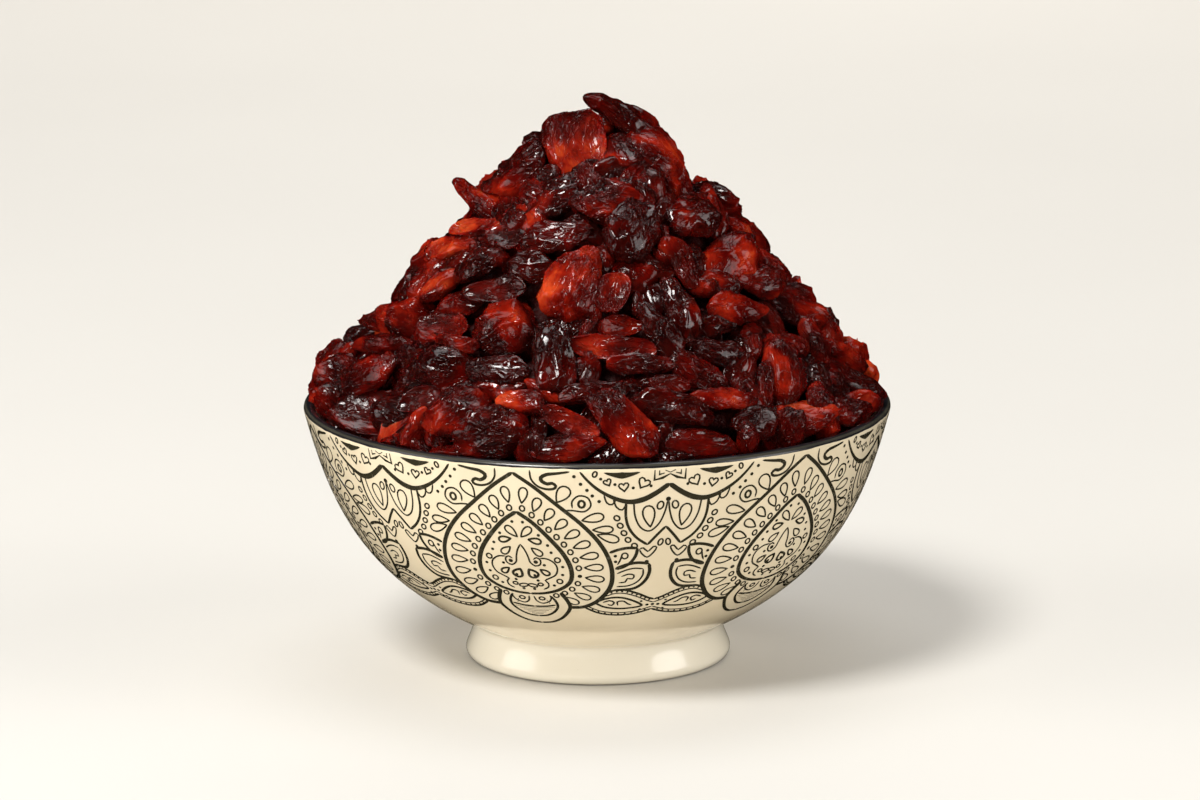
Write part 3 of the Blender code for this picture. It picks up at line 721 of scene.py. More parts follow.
def smooth(points):
    """A smooth curve through the points, given by a spline through each four neighbours."""
    p = np.array(points, float)
    pad = np.vstack((2 * p[0] - p[1], p, 2 * p[-1] - p[-2]))
    runs = []
    for a, b, c, d in zip(pad[:-3], pad[1:-2], pad[2:-1], pad[3:]):
        t = np.linspace(0, 1, max(int(np.hypot(*(c - b)) / LINE_STEP) + 1, 3))[:-1, None]
        bend = 2 * a - 5 * b + 4 * c - d
        runs.append(0.5 * (2 * b + (c - a) * t + bend * t**2 + (3 * b - a - 3 * c + d) * t**3))
    return np.vstack(runs + [p[-1:]])


def line(points, width=THIN, closed=False, curved=True):
    """A drawn line: its places, its width or widths in millimetres, and whether it closes."""
    places = smooth(points) if curved else np.array(points, float)
    return {"places": places, "width": width, "closed": closed}


def petal(tip, end, width, stroke=THIN):
    """An outlined drop, pointed at the tip and round at the end.

    With t from 0 to a full turn, (1 - cos t) / 2 goes along it, and sin t sin(t/2) across it. The
    product's greatest value is 0.77, so it is divided by twice that."""
    tip, end = np.array(tip, float), np.array(end, float)
    scale = np.array((degree_width((tip[1] + end[1]) / 2), 1.0))
    run = (end - tip) * scale
    side = np.array((-run[1], run[0])) / np.hypot(*run)
    t = full_turn(PETAL_SIDES)[:, None]
    shape = (1 - np.cos(t)) / 2 * run + width / 1.54 * np.sin(t) * np.sin(t / 2) * side
    return line(tip + shape / scale, stroke, closed=True, curved=False)


def outlined(centre, x, y, tilt, stroke):
    """A closed outline through points in millimetres from its centre, turned by some degrees."""
    scale = np.array((degree_width(centre[1]), 1.0))
    c, s = math.cos(math.radians(tilt)), math.sin(math.radians(tilt))
    shape = np.column_stack((c * x - s * y, s * x + c * y))
    return line(centre + shape / scale, stroke, closed=True, curved=False)


def oval(centre, size, tilt=0.0, stroke=THIN):
    """An outlined oval or circle, from the cosine and the sine of a full turn."""
    t = full_turn(OVAL_SIDES)
    return outlined(centre, size[0] * np.cos(t), size[1] * np.sin(t), tilt, stroke)


def dot(centre, radius=0.42):
    """A filled dot."""
    return {"dot": np.array(centre, float), "radius": radius}


def dots(radius, *centres):
    """Filled dots of one size."""
    return [dot(centre, radius) for centre in centres]


def heart(centre, size, tilt):
    """A small outlined heart, its point downwards before it is tilted.

    Across it goes the sine cubed, and up it a falling row of cosines of one to four turns."""
    t = full_turn(HEART_SIDES)
    up = 0.85 * np.cos(t) - 0.36 * np.cos(2 * t) - 0.14 * np.cos(3 * t) - 0.05 * np.cos(4 * t)
    return outlined(centre, size * np.sin(t) ** 3, -size * up, tilt, THIN)


def between(first, second, share):
    """The place at this share of the way from the first to the second."""
    return first * (1 - share) + second * share


def along(points, shares):
    """Places at these shares of a curve's length, with a degree taken as about 0.9 mm."""
    curve = smooth(points)
    length = run_length(curve * (DEGREE_ALONG, 1.0))
    at = np.asarray(shares) * length[-1]
    return np.column_stack([np.interp(at, length, curve[:, k]) for k in (0, 1)])


def ring_places(count, start, end):
    """Pairs of places: on the medallion's outline, and on the leaf's between these shares."""
    outer = along(MEDALLION, np.linspace(*RING_SHARES, count))
    return zip(outer, along(LEAF, np.linspace(start, end, count)))


def medallion():
    """A pointed heart with a ring of drops and beads round a leaf."""
    drawn = [line(MEDALLION, (0.75, THICK, 1.0)), line(LEAF, (0.8, 0.95, 0.6))]
    for far, near in ring_places(RING_PETALS, 0.03, 0.82):
        drawn.append(petal(between(far, near, 0.66), between(far, near, 0.2), 1.7))
    for k, (far, near) in enumerate(ring_places(RING_BEADS, 0.04, 0.86)):
        centre = between(far, near, 0.80)
        drawn.append(dot(centre, 0.45) if k == FILLED_BEAD else oval(centre, (0.5, 0.6)))
    return drawn


def leaf_filling():
    """Inside the leaf: paired drops, a flame that opens into scrolls, a cloud and small beads."""
    return [
        petal((0.4, 16.1), (2.6, 13.8), 1.5),
        petal((1.9, 16.6), (4.5, 17.1), 1.3, 0.45),
        petal((2.3, 18.6), (4.4, 20.3), 1.4),
        line(((0, 17.8), (0.8, 19.2), (1.3, 20.8), (1.6, 22.2), (2.6, 23.0), (3.7, 22.6),
              (3.9, 21.5), (3.1, 20.9), (2.3, 21.4))),
        dot((2.8, 22.0), 0.45),
        line(((3.8, 21.0), (5.4, 21.1), (6.9, 22.1), (7.4, 23.6), (6.8, 25.2), (5.2, 26.2),
              (4.3, 26.8), (4.9, 27.6), (4.7, 28.7), (3.5, 29.4))),
        petal((1.0, 24.0), (2.3, 26.0), 1.9, MIDDLE),
        dot((2.1, 25.5), 0.32),
        petal((3.6, 23.9), (5.4, 25.2), 1.2, 0.45),
        oval((3.0, 28.0), (0.5, 0.4)),
        oval((1.1, 28.4), (0.9, 0.45), 10),
        *dots(0.33, (1.1, 12.7), (4.1, 15.5), (5.8, 17.8), (6.4, 19.5), (8.6, 23.0), (8.4, 25.1),
              (6.2, 28.1), (4.6, 22.7), (1.3, 29.4), (2.6, 26.9)),
        oval((7.6, 21.3), (0.55, 0.6)),
        oval((7.6, 26.9), (0.55, 0.6)),
    ]


def cup():
    """The cup under the medallion: two curved walls, small scales and hatching."""
    drawn = [
        line(((7.4, 30.2), (8.9, 33.2), (9.0, 35.6), (6.6, 39.0), (3.4, 41.0), (0, 41.6)),
             (0.9, 0.7, 0.6)),
        line(((4.6, 31.2), (5.8, 33.0), (6.0, 35.0), (4.6, 37.0), (2.5, 38.3), (0, 38.7)), MIDDLE),
        line(((5.6, 34.3), (3.0, 34.9), (0, 35.1)), 0.5),
        line(((5.0, 31.4), (4.4, 33.0), (2.4, 33.9), (1.0, 33.1), (0.6, 31.6))),
        oval((2.5, 32.3), (0.55, 0.5)),
        line(((3.6, 32.7), (4.2, 34.0)), curved=False),
    ]
    for k in range(5):
        depth = 35.6 + 0.6 * k
        drawn.append(line(((0, depth), (5.2 - 0.9 * k, depth - 0.35)), 0.3, curved=False))
    return drawn


def flank():
    """Outside the medallion: a hook from the rim, drops that lean on it, and a row of dots."""
    return [
        line(((3.4, 1.3), (3.6, 3.2), (4.7, 4.6), (6.3, 5.2), (7.8, 5.1), (8.3, 4.5), (7.6, 3.9),
              (6.7, 4.1), (5.7, 3.6), (5.5, 2.8), (6.6, 2.1), (8.6, 1.8), (11.0, 1.4)),
             (THIN, 0.5, 0.8, 0.4)),
        petal((8.3, 8.0), (10.5, 4.7), 2.5),
        line(((9.9, 9.7), (11.3, 9.7), (13.6, 9.9), (14.9, 8.6), (14.3, 6.9), (12.6, 6.5),
              (11.3, 7.7), (11.3, 9.2))),
        oval((13.1, 8.3), (0.6, 0.75), stroke=0.5),
        petal((13.1, 11.9), (17.4, 10.9), 1.9),
        petal((15.2, 14.0), (19.3, 13.9), 1.6),
        petal((16.1, 15.1), (20.5, 16.5), 1.8),
        *dots(0.36, (11.8, 2.4), (13.0, 4.0), (14.2, 5.3), (15.2, 6.5), (16.5, 7.7)),
    ]


def scallop():
    """The scalloped field under the rim: hearts, beads, dark half lenses and a half lotus."""
    return [
        line(((12.9, 1.4), (14.2, 3.1), (16.0, 4.9), (18.2, 6.4), (20.6, 7.5), (22.8, 7.9),
              (25.2, 7.4), (27.6, 6.1), (30.0, 4.3)), (0.45, 0.7, 1.15, 0.95)),
        line(((17.4, 1.6), (19.1, 2.0), (20.8, 2.2), (22.5, 2.0), (24.2, 1.6)), (0.3, 1.4, 0.3)),
        line(((27.0, 1.3), (27.0, 3.4), (28.6, 3.0), (30.0, 2.2)), MIDDLE, curved=False),
        line(((27.9, 1.4), (27.9, 2.3), (28.9, 2.0)), 0.5, curved=False),
        line(((29.0, 1.4), (30.0, 1.9)), 0.5, curved=False),
        oval((15.7, 1.9), (0.4, 0.6), 20),
        heart((18.1, 3.6), 0.75, -25),
        heart((21.2, 4.6), 0.95, -8),
        heart((25.0, 3.9), 1.15, 30),
        *dots(0.32, (16.8, 2.9), (19.5, 4.1), (23.0, 4.9), (26.4, 4.6)),
        line(((17.4, 6.3), (18.0, 8.0), (19.0, 8.4), (19.8, 7.3))),
        line(((19.2, 7.2), (19.9, 9.0), (21.0, 9.6), (21.8, 8.4))),
    ]


def lotus():
    """The double lotus that hangs from the scallop, beads along it and a small heart below."""
    beads = ((20.0, 11.4), (20.7, 13.1), (21.5, 14.8), (22.4, 16.4), (23.8, 17.8))
    return [
        line(((21.7, 8.0), (21.8, 11.4), (22.6, 13.9), (24.2, 16.0), (26.5, 17.7)), MIDDLE),
        line(((26.5, 17.7), (28.3, 15.5), (30.0, 13.6)), MIDDLE),
        line(((23.2, 7.9), (23.6, 11.1), (24.8, 13.6), (26.7, 14.5), (28.5, 12.9), (29.5, 10.3),
              (29.9, 7.9))),
        petal((26.8, 13.6), (26.0, 8.9), 2.3),
        oval((28.5, 8.9), (0.6, 0.85), 15),
        dot((30.0, 7.6), 0.5),
        line(((24.9, 18.7), (25.7, 18.4), (26.7, 19.3), (27.8, 18.2), (28.5, 18.4), (28.0, 19.5),
              (26.7, 20.7), (25.4, 19.7), (24.9, 18.7))),
        dot((26.7, 21.8)),
        oval((29.2, 17.2), (0.45, 0.75), 15),
        *(oval(place, (0.6, 0.5), 50) for place in beads),
    ]


def lobes():
    """Two lobes on the medallion's flank, each with lines that follow it and a small hook."""
    return [
        line(((18.6, 19.4), (20.4, 18.7), (22.4, 18.3), (24.5, 18.4)), 0.65),
        line(((24.5, 18.4), (24.2, 20.2), (23.2, 21.9), (21.7, 23.0), (20.0, 23.5)), 0.65),
        oval((21.9, 20.2), (0.6, 0.7)),
        line(((21.3, 20.0), (20.9, 21.4), (20.4, 22.4))),
        *dots(0.34, (19.9, 20.2), (20.0, 21.6)),
        line(((20.0, 23.4), (22.4, 22.4), (24.8, 22.0), (27.3, 22.3)), 0.7),
        line(((27.3, 22.3), (27.6, 24.6), (26.8, 27.0), (24.6, 28.9), (20.4, 29.4)), 0.7),
        line(((20.4, 24.7), (22.4, 23.8), (24.2, 23.4), (26.1, 23.6))),
        line(((26.1, 23.6), (26.2, 25.2), (25.2, 27.0), (23.2, 28.1), (20.5, 28.3))),
        line(((21.4, 25.5), (23.0, 24.9), (24.2, 25.2), (24.0, 26.2), (22.8, 26.1), (22.4, 27.0),
              (20.9, 27.2))),
    ]


def band():
    """The twisted band between two medallions: edges that cross, lines along them, an almond."""
    top = np.array(((18.0, 30.2), (20.4, 29.3), (23.0, 29.5), (26.0, 30.7), (28.2, 31.9),
                    (30.0, 32.6)))
    foot = np.array(((13.0, 35.0), (16.6, 37.0), (21.0, 37.8), (25.3, 37.5), (28.0, 36.7),
                     (30.0, 35.9)))
    shares = np.linspace(0.12, 0.9, 9)
    return [
        line(top, MIDDLE),
        line(foot, MIDDLE),
        line(top + (0, 1.0), 0.3),
        line(foot - (0, 0.9), 0.3),
        line(((15.4, 33.2), (18.0, 32.0), (21.0, 31.6), (24.0, 32.4), (27.2, 34.5), (24.0, 35.3),
              (20.5, 35.3), (17.5, 34.6), (15.4, 33.2)), MIDDLE),
        line(((17.4, 33.2), (19.0, 32.6), (20.2, 33.2), (19.6, 34.2), (18.6, 33.8)), 0.4),
        line(((21.2, 34.3), (21.0, 33.0), (22.6, 32.9), (23.6, 33.8), (24.6, 34.2)), 0.4),
        *dots(0.36, (28.6, 34.4), (30.0, 34.3)),
        *dots(0.28, (26.9, 33.1), (27.0, 35.9)),
        *dots(0.22, *along(top + (0, 0.52), shares), *along(foot - (0, 0.46), shares)),
    ]


def stroke(places, width, closed):
    """A flat line laid on the wall: at each place a cross-section of four corners, half the width
    to each side of the path, from just under the glaze to just over it. Open ends are rounded."""
    count = len(places)
    share = np.linspace(0, 1, count)
    widths = np.interp(share, np.linspace(0, 1, np.size(width)), np.atleast_1d(width)) * MM
    points, normals = on_wall(places[:, 0], places[:, 1])
    if closed:
        ahead = np.roll(points, -1, axis=0) - np.roll(points, 1, axis=0)
    else:
        ahead = np.gradient(points, axis=0)
        run = run_length(points)
        end = np.minimum(run, run[-1] - run) / (widths / 2)
        rounded = 1 - (1 - np.clip(end, 0, 1)) ** 2
        widths = widths * np.sqrt(np.clip(rounded, LEAST_END, 1))
    side = np.cross(normals, ahead)
    side /= np.linalg.norm(side, axis=1)[:, None]
    half = widths[:, None] / 2 * side
    low, high = points - INK_ROOT * normals, points + INK_HEIGHT * normals
    rows = np.stack((low - half, high - half, high + half, low + half), axis=1)
    here = 4 * np.arange(count if closed else count - 1)
    after = (here + 4) % (4 * count)
    corner = np.arange(4)[:, None]
    turn = (corner + 1) % 4
    quads = np.stack((corner + here, corner + after, turn + after, turn + here), axis=-1)
    quads = quads.reshape(-1, 4)
    if not closed:
        caps = np.array(((0, 1, 2, 3), (3, 2, 1, 0))) + np.array(((0,), (4 * (count - 1),)))
        quads = np.vstack((quads, caps))
    return rows.reshape(-1, 3), quads, np.zeros((0, 3), int)


def disc(centre, radius):
    """A filled dot: a low drum whose two round faces are fans of triangles."""
    t = full_turn(DOT_SIDES)
    scale = np.array((degree_width(centre[1]), 1.0))
    ring = centre + radius * np.column_stack((np.cos(t), np.sin(t))) / scale
    points, normals = on_wall(ring[:, 0], ring[:, 1])
    middle, out = on_wall(centre[:1], centre[1:])
    low, high = points - INK_ROOT * normals, points + INK_HEIGHT * normals
    ends = np.vstack((middle - INK_ROOT * out, middle + INK_HEIGHT * out))
    here = np.arange(DOT_SIDES)
    after = (here + 1) % DOT_SIDES
    quads = np.column_stack((here, DOT_SIDES + here, DOT_SIDES + after, after))
    first = np.full(DOT_SIDES, 2 * DOT_SIDES)
    under = np.column_stack((first, here, after))
    over = np.column_stack((first + 1, DOT_SIDES + after, DOT_SIDES + here))
    return np.vstack((low, high, ends)), quads, np.vstack((under, over))


def joined(parts):
    """One set of points and faces from many."""
    points, quads, triangles, first = [], [], [], 0
    for p, q, t in parts:
        points.append(p)
        quads.append(q + first)
        triangles.append(t + first)
        first += len(p)
    return np.vstack(points), np.vstack(quads), np.vstack(triangles)


def printed(name, motifs, finish):
    """The motifs on both sides of each medallion, all round the bowl, as one piece."""
    parts = []
    for turn in range(REPEATS):
        for side in (1, -1):
            flip = np.array((side, 1.0))
            shift = np.array((turn * 360.0 / REPEATS, 0.0))
            for one in motifs:
                if "dot" in one:
                    parts.append(disc(one["dot"] * flip + shift, one["radius"]))
                else:
                    places = one["places"] * flip + shift
                    parts.append(stroke(places, one["width"], one["closed"]))
    made = mesh_piece(name, *joined(parts))
    made.data.set_sharp_from_angle(angle=SHARP_ANGLE)
    dress(made, finish, "porcelain")


def build_ornament():
    """All the printed lines, in three pieces."""
    finish = ink()
    printed("printed_medallions", medallion() + cup(), finish)
    printed("printed_leaves", leaf_filling() + flank(), finish)
    printed("printed_borders", scallop() + lotus() + lobes() + band(), finish)


# Layout of the heap: the same rule, seeds and order as in the solid, so that each cranberry lies
# where its solid does. A cranberry here is a dict of its place, axes, half sizes and tone.


def envelope_radius(height):
    """The heap's outer radius at a height above the rim."""
    left = np.clip(1 - height / HEAP_RISE, 0.0, None)
    return HEAP_BASE_RADIUS * left**HEAP_TAPER


def envelope_normal(point):
    """The slope's outward normal below or at a point."""
    height = np.clip(point[2] - RIM_HEIGHT, 0.0, NEAR_TOP * HEAP_RISE)
    fall = HEAP_BASE_RADIUS * HEAP_TAPER / HEAP_RISE * (1 - height / HEAP_RISE) ** (HEAP_TAPER - 1)
    reach = max(np.hypot(point[0], point[1]), NEAR_AXIS)
    return unit(np.array((point[0] / reach, point[1] / reach, fall)))


def envelope_distance(point):
    """How far a point lies outside the heap's envelope, negative inside."""
    height = point[2] - RIM_HEIGHT
    normal = envelope_normal(point)
    radial = np.hypot(point[0], point[1]) - envelope_radius(height)
    over = max(height - HEAP_RISE, 0.0)
    return radial * np.hypot(normal[0], normal[1]) + over


def front_spot(across, up, depth):
    """The point under the front slope that shows at (across, up) in the front view.

    What is nearer than the rim's centre shows larger, so its true place is closer in."""
    toward = -HEAP_BASE_RADIUS / 2
    height = up
    for _ in range(SPOT_ROUNDS):
        away = VIEW_DISTANCE + toward * math.cos(VIEW_TILT) - height * math.sin(VIEW_TILT)
        scale = away / VIEW_DISTANCE
        height = (up * scale - toward * math.sin(VIEW_TILT)) / math.cos(VIEW_TILT)
        radius = envelope_radius(height) - depth
        toward = (toward - math.sqrt(max(radius**2 - (across * scale) ** 2, 0.0))) / 2
    return np.array((across * scale, toward, RIM_HEIGHT + height))


def seen_axis(tilt, normal, length):
    """The direction in the slope that shows at this tilt in the front view, and its true length.

    One that would come out too long stands steeper than the slope instead."""
    angle = math.radians(tilt)
    shown = math.cos(angle) * ACROSS + math.sin(angle) * UP
    steepest = min(math.sqrt(max((LONGEST_SHOWN / length) ** 2 - 1, 0.0)), STEEPEST)
    slant = np.clip(-(shown @ normal) / min(SIGHT @ normal, -EDGE_ON), -steepest, steepest)
    ahead = shown + slant * SIGHT
    return unit(ahead), length * np.linalg.norm(ahead)


def thickness(width):
    """How thick a cranberry of this width is."""
    return float(np.clip(THICKNESS_SHARE * width, THINNEST, THICKEST))


def frame_of(ahead, normal):
    """Three axes as columns: ahead, sideways, and as near the normal as ahead allows."""
    side = unit(np.cross(normal, ahead))
    return np.column_stack((ahead, side, np.cross(ahead, side)))


def berry(centre, ahead, normal, length, width, depth=0.0, placed=False, tone=None):
    """A cranberry's place, axes, half sizes and depth under the slope, whether the front view
    placed it, and its tone where that view gives it."""
    size = GROWTH * np.array((length, width, thickness(width))) / 2
    return {
        "centre": centre, "axes": frame_of(ahead, normal), "size": size, "depth": depth,
        "placed": placed, "start": centre, "tone": tone,
    }


def shown_berries():
    """The cranberries that the front view shows, each lying in the slope where that view has it."""
    made = []
    for rows, depth in ((SHOW_BERRIES, 0.0), (GAP_BERRIES, GAP_DEPTH)):
        for across, up, length, width, tilt, tone in rows:
            under = depth + thickness(width * MM) / 2
            centre = front_spot(across * MM, up * MM, under / SLOPE_SHARE)
            normal = envelope_normal(centre)
            ahead, true_length = seen_axis(tilt, normal, length * MM)
            made.append(berry(centre, ahead, normal, true_length, width * MM, depth, True, tone))
    return made


def random_spot(rng, low=FILL_LOW):
    """A point on the envelope, every patch of slope as likely as any other of its size."""
    while True:
        height = rng.uniform(low, FILL_TOP * HEAP_RISE)
        if rng.uniform(0, HEAP_BASE_RADIUS) < envelope_radius(height):
            break
    angle = rng.uniform(0, 2 * math.pi)
    radius = envelope_radius(height)
    return np.array((radius * math.cos(angle), radius * math.sin(angle), RIM_HEIGHT + height))


def fill_berries(shown, rng, lengths, depth=0.0, low=FILL_LOW):
    """More cranberries, the largest first, each in the widest gap of its tries."""
    made = list(shown)
    for length in lengths:
        width = length * rng.uniform(*WIDTH_SHARE)
        spots = np.array([random_spot(rng, low) for _ in range(TRIES_PER_BERRY)])
        taken = np.array([b["centre"] for b in made])
        reach = np.array([math.sqrt(b["size"][0] * b["size"][1]) for b in made])
        clear = np.linalg.norm(spots[:, None] - taken[None], axis=2) - reach[None]
        spot = spots[clear.min(axis=1).argmax()]
        normal = unit(envelope_normal(spot) + rng.normal(0, LEAN, 3))
        ahead = unit(np.cross(normal, rng.normal(0, 1, 3)))
        centre = spot - (thickness(width) / 2 + depth) * normal
        made.append(berry(centre, ahead, normal, length, width))
    return made


def lip_push(point, radius):
    """How a ball that meets the bowl's lip or inner wall has to move to come clear of it."""
    reach = math.hypot(point[0], point[1])
    inward = -np.array((point[0], point[1], 0.0)) / max(reach, MM)
    push = np.zeros(3)
    apart = np.array((reach, point[2])) - LIP_CENTRE
    short = radius + LIP_THICKNESS / 2 + GAP - np.linalg.norm(apart)
    if short > 0:
        away = apart / max(np.linalg.norm(apart), LEAST_LENGTH)
        push += short * (np.array((0, 0, 1.0)) * away[1] - inward * away[0])
    if point[2] < LIP_CENTRE[1]:
        wall = LIP_CENTRE[0] - LIP_THICKNESS / 2 - WALL_LEAN * (LIP_CENTRE[1] - point[2])
        push += inward * max(reach + radius + GAP - wall, 0.0)
    return push


def outline_push(point, radius):
    """How a ball that would show above the outline in the front view has to sink into the slope."""
    toward, height = point[1], point[2] - RIM_HEIGHT
    scale = 1 + (toward * math.cos(VIEW_TILT) - height * math.sin(VIEW_TILT)) / VIEW_DISTANCE
    up = (height * math.cos(VIEW_TILT) + toward * math.sin(VIEW_TILT)) / scale
    over = up + radius - np.interp(point[0] / scale, OUTLINE_ACROSS, OUTLINE_UP)
    return -max(over, 0.0) * envelope_normal(point)


def settle(berries):
    """Pushes the cranberries apart, and back to the slope, as if they rested on each other.

    Each stands for three balls in a row along its length. Those that the front view places move
    only along the line of sight, so that they still show where they were put. The others stay under
    the outline."""
    radius = np.array([BALL_SHARE * (b["size"][1] + b["size"][2]) for b in berries])
    half_run = np.array([b["size"][0] for b in berries]) - radius
    order = np.tile(np.arange(len(berries)), 3)
    touch = radius[order][:, None] + radius[order][None]
    touch[order[:, None] == order[None]] = 0.0
    for _ in range(SETTLE_STEPS):
        centres = np.array([b["centre"] for b in berries])
        ahead = np.array([b["axes"][:, 0] for b in berries])
        balls = np.concatenate([centres + end * half_run[:, None] * ahead for end in (-1, 0, 1)])
        apart = balls[:, None] - balls[None]
        gap = np.linalg.norm(apart, axis=2)
        overlap = np.clip(touch - gap, 0.0, None) / (gap + TINY)
        push = PUSH_SHARE * (apart * overlap[:, :, None]).sum(axis=1)
        push += [lip_push(p, r) + outline_push(p, r) for p, r in zip(balls, radius[order])]
        for k, one in enumerate(berries):
            mine = order == k
            sink = envelope_distance(centres[k]) + one["size"][2] + one["depth"]
            move = push[mine].mean(axis=0) - PULL_SHARE * sink * envelope_normal(centres[k])
            if one["placed"]:
                travel = (centres[k] + move - one["start"]) @ SIGHT
                travel = np.clip(travel, -PLACED_TRAVEL, PLACED_TRAVEL)
                one["centre"] = one["start"] + travel * SIGHT
                continue
            turn = np.cross(balls[mine] - centres[k], push[mine]).sum(axis=0)
            turn /= 2 * half_run[k] ** 2 + STIFF_ARM**2
            one["centre"] = centres[k] + move
            one["axes"] = frame_of(unit(ahead[k] + np.cross(turn, ahead[k])), one["axes"][:, 2])
    return berries


def room(heights):
    """The radius that is free for the fruit at each height: inside the wall, by the lip, above."""
    wall = inner_wall(INNER_STEPS)
    inside = np.interp(heights, wall[:, 1], wall[:, 0]) - BERRY_GAP
    rise = np.clip(heights - LIP_CENTRE[1], 0, None)
    beside = (LIP_THICKNESS / 2 + BERRY_GAP) ** 2 - rise**2
    by_lip = LIP_CENTRE[0] - np.sqrt(np.clip(beside, 0, None))
    over = np.where(beside > 0, by_lip, RIM_RADIUS - BERRY_GAP)
    return np.where(heights > LIP_CENTRE[1], over, inside)


def probes(points, quads, triangles):
    """A cranberry's corners, the middles of its faces and the middles of its sides."""
    middles, sides = [], []
    for faces in (quads, triangles):
        middles.append(points[faces].mean(axis=1))
        sides.append(((points[faces] + points[np.roll(faces, -1, axis=1)]) / 2).reshape(-1, 3))
    return np.vstack([points] + middles + sides)


def seat(one, points, quads, triangles):
    """The move that takes a cranberry in until it bites the core, and then clear of the bowl."""
    spots = probes(points, quads, triangles)
    rise = spots[:, 2] - RIM_HEIGHT
    above_core = np.hypot(spots[:, 0], spots[:, 1]) - envelope_radius(rise) + CORE_DEPTH
    short = max(above_core.min() * SLOPE_SHARE + BITE, 0.0)
    move = -short * envelope_normal(one["centre"])
    step = SMALL_STEP * unit(unit(-one["centre"] * (1, 1, 0)) + (0, 0, SEAT_RISE))
    for _ in range(SEAT_TRIES):
        here = spots + move
        if (np.hypot(here[:, 0], here[:, 1]) < room(here[:, 2])).all():
            break
        move = move + step
    return move


def ball_grid(around, lengthwise, crowding=0.0):
    """Directions on a ball whose poles lie on X, ring by ring and then the two poles.

    Ring i lies at polar angle f_i in even steps. Along it the angle is t + crowding cos t, so with
    crowding the points lie closer on the side of +Z, which faces outwards in the heap."""
    turn = full_turn(around)
    turn = turn + crowding * np.cos(turn)
    fall = np.arange(1, lengthwise) * math.pi / lengthwise
    across = np.stack((np.cos(turn), np.sin(turn)), axis=-1)
    ahead = np.repeat(np.cos(fall)[:, None, None], around, 1)
    rings = np.concatenate((ahead, np.sin(fall)[:, None, None] * across), axis=-1)
    points = np.vstack((rings.reshape(-1, 3), (1.0, 0, 0), (-1.0, 0, 0)))
    quads, triangles = wrapped_faces(lengthwise - 1, around)
    return points, quads[:, ::-1], triangles[:, ::-1]


def berry_form(directions, size, rng):
    """A cranberry's collapsed form: a full egg with dents, bent and twisted along it, and lumpy.

    Each direction is scaled to the half sizes, pinched towards one end, dented where the drying
    skin fell in, bent up or down towards its ends, and turned about its length by an angle that
    grows along it. Then smooth waves in all directions make it uneven, and at last the middle of
    its box is moved to zero."""
    directions = np.vstack((directions, ALL_WAYS))
    taper, bend = rng.uniform(-TAPER, TAPER), rng.uniform(-BEND, BEND)
    twist = rng.uniform(-TWIST, TWIST)
    scale = (np.abs(directions) ** FULLNESS).sum(axis=1) ** (-1 / FULLNESS)
    for _ in range(DENTS):
        place = unit(rng.normal(0, 1, 3))
        depth, spread = rng.uniform(*DENT_DEPTH), rng.uniform(*DENT_SPREAD)
        scale -= depth * np.exp((directions @ place - 1) / spread)
    points = directions * scale[:, None] * size
    x = directions[:, 0]
    points[:, 1:] *= (1 - taper * x)[:, None]
    points[:, 2] += bend * size[2] * (x**2 - BEND_LEVEL)
    y, z = points[:, 1], points[:, 2]
    c, s = np.cos(twist * x), np.sin(twist * x)
    points = np.column_stack((points[:, 0], c * y - s * z, s * y + c * z))
    wavelength = LUMP_SPACING * 2 * size[1]
    points = points + LUMP * size[1] * three_waves(points, wavelength, 3, rng)
    ends = points[-len(ALL_WAYS):]
    return points[:-len(ALL_WAYS)] - (ends.max(axis=0) + ends.min(axis=0)) / 2


def waves(points, wavelength, count, rng):
    """A smooth random field, mostly from -1 to 1: the sum of sines that run in random directions,
    divided by the root of their count."""
    across = rng.normal(0, 1, (count, 3))
    across *= 2 * math.pi / wavelength / np.linalg.norm(across, axis=1)[:, None]
    start = rng.uniform(0, 2 * math.pi, count)
    return np.sin(points @ across.T + start).sum(axis=1) / math.sqrt(count)


def three_waves(points, wavelength, count, rng):
    """One such field for each axis."""
    return np.column_stack([waves(points, wavelength, count, rng) for _ in range(3)])


def creases(points, size, count, width, rng):
    """Sharp ridges between the fields of a collapsed skin: 1 on them, falling to 0 away from them.

    Random seed points lie on the skin. Where a point is as near to one as to the next, it lies on a
    ridge; the height falls off with the difference of the two distances. Distances count less along
    the length, so that the fields and ridges run that way."""
    seeds = rng.normal(0, 1, (count, 3))
    seeds *= size / np.linalg.norm(seeds, axis=1)[:, None]
    stretch = np.array((LENGTHWISE, 1.0, 1.0))
    apart = ((points * stretch)[:, None] - (seeds * stretch)[None]) ** 2
    near = np.sqrt(np.partition(apart.sum(axis=2), 1, axis=1)[:, :2])
    return np.exp(-(near[:, 1] - near[:, 0]) / width)


def grid_normals(points, around):
    """Outward normals of a ball grid, from the steps to the neighbours along and across."""
    rings = points[:-2].reshape(-1, around, 3)
    first, last = (np.repeat(pole[None, None], around, 1) for pole in points[-2:])
    lengthwise = np.concatenate((first, rings, last))
    down = lengthwise[2:] - lengthwise[:-2]
    across = np.roll(rings, -1, axis=1) - np.roll(rings, 1, axis=1)
    outward = points - points.mean(axis=0)
    normals = np.vstack((np.cross(across, down).reshape(-1, 3), outward[-2:]))
    normals /= np.linalg.norm(normals, axis=1)[:, None]
    return normals * np.sign((normals * outward).sum(axis=1).mean())


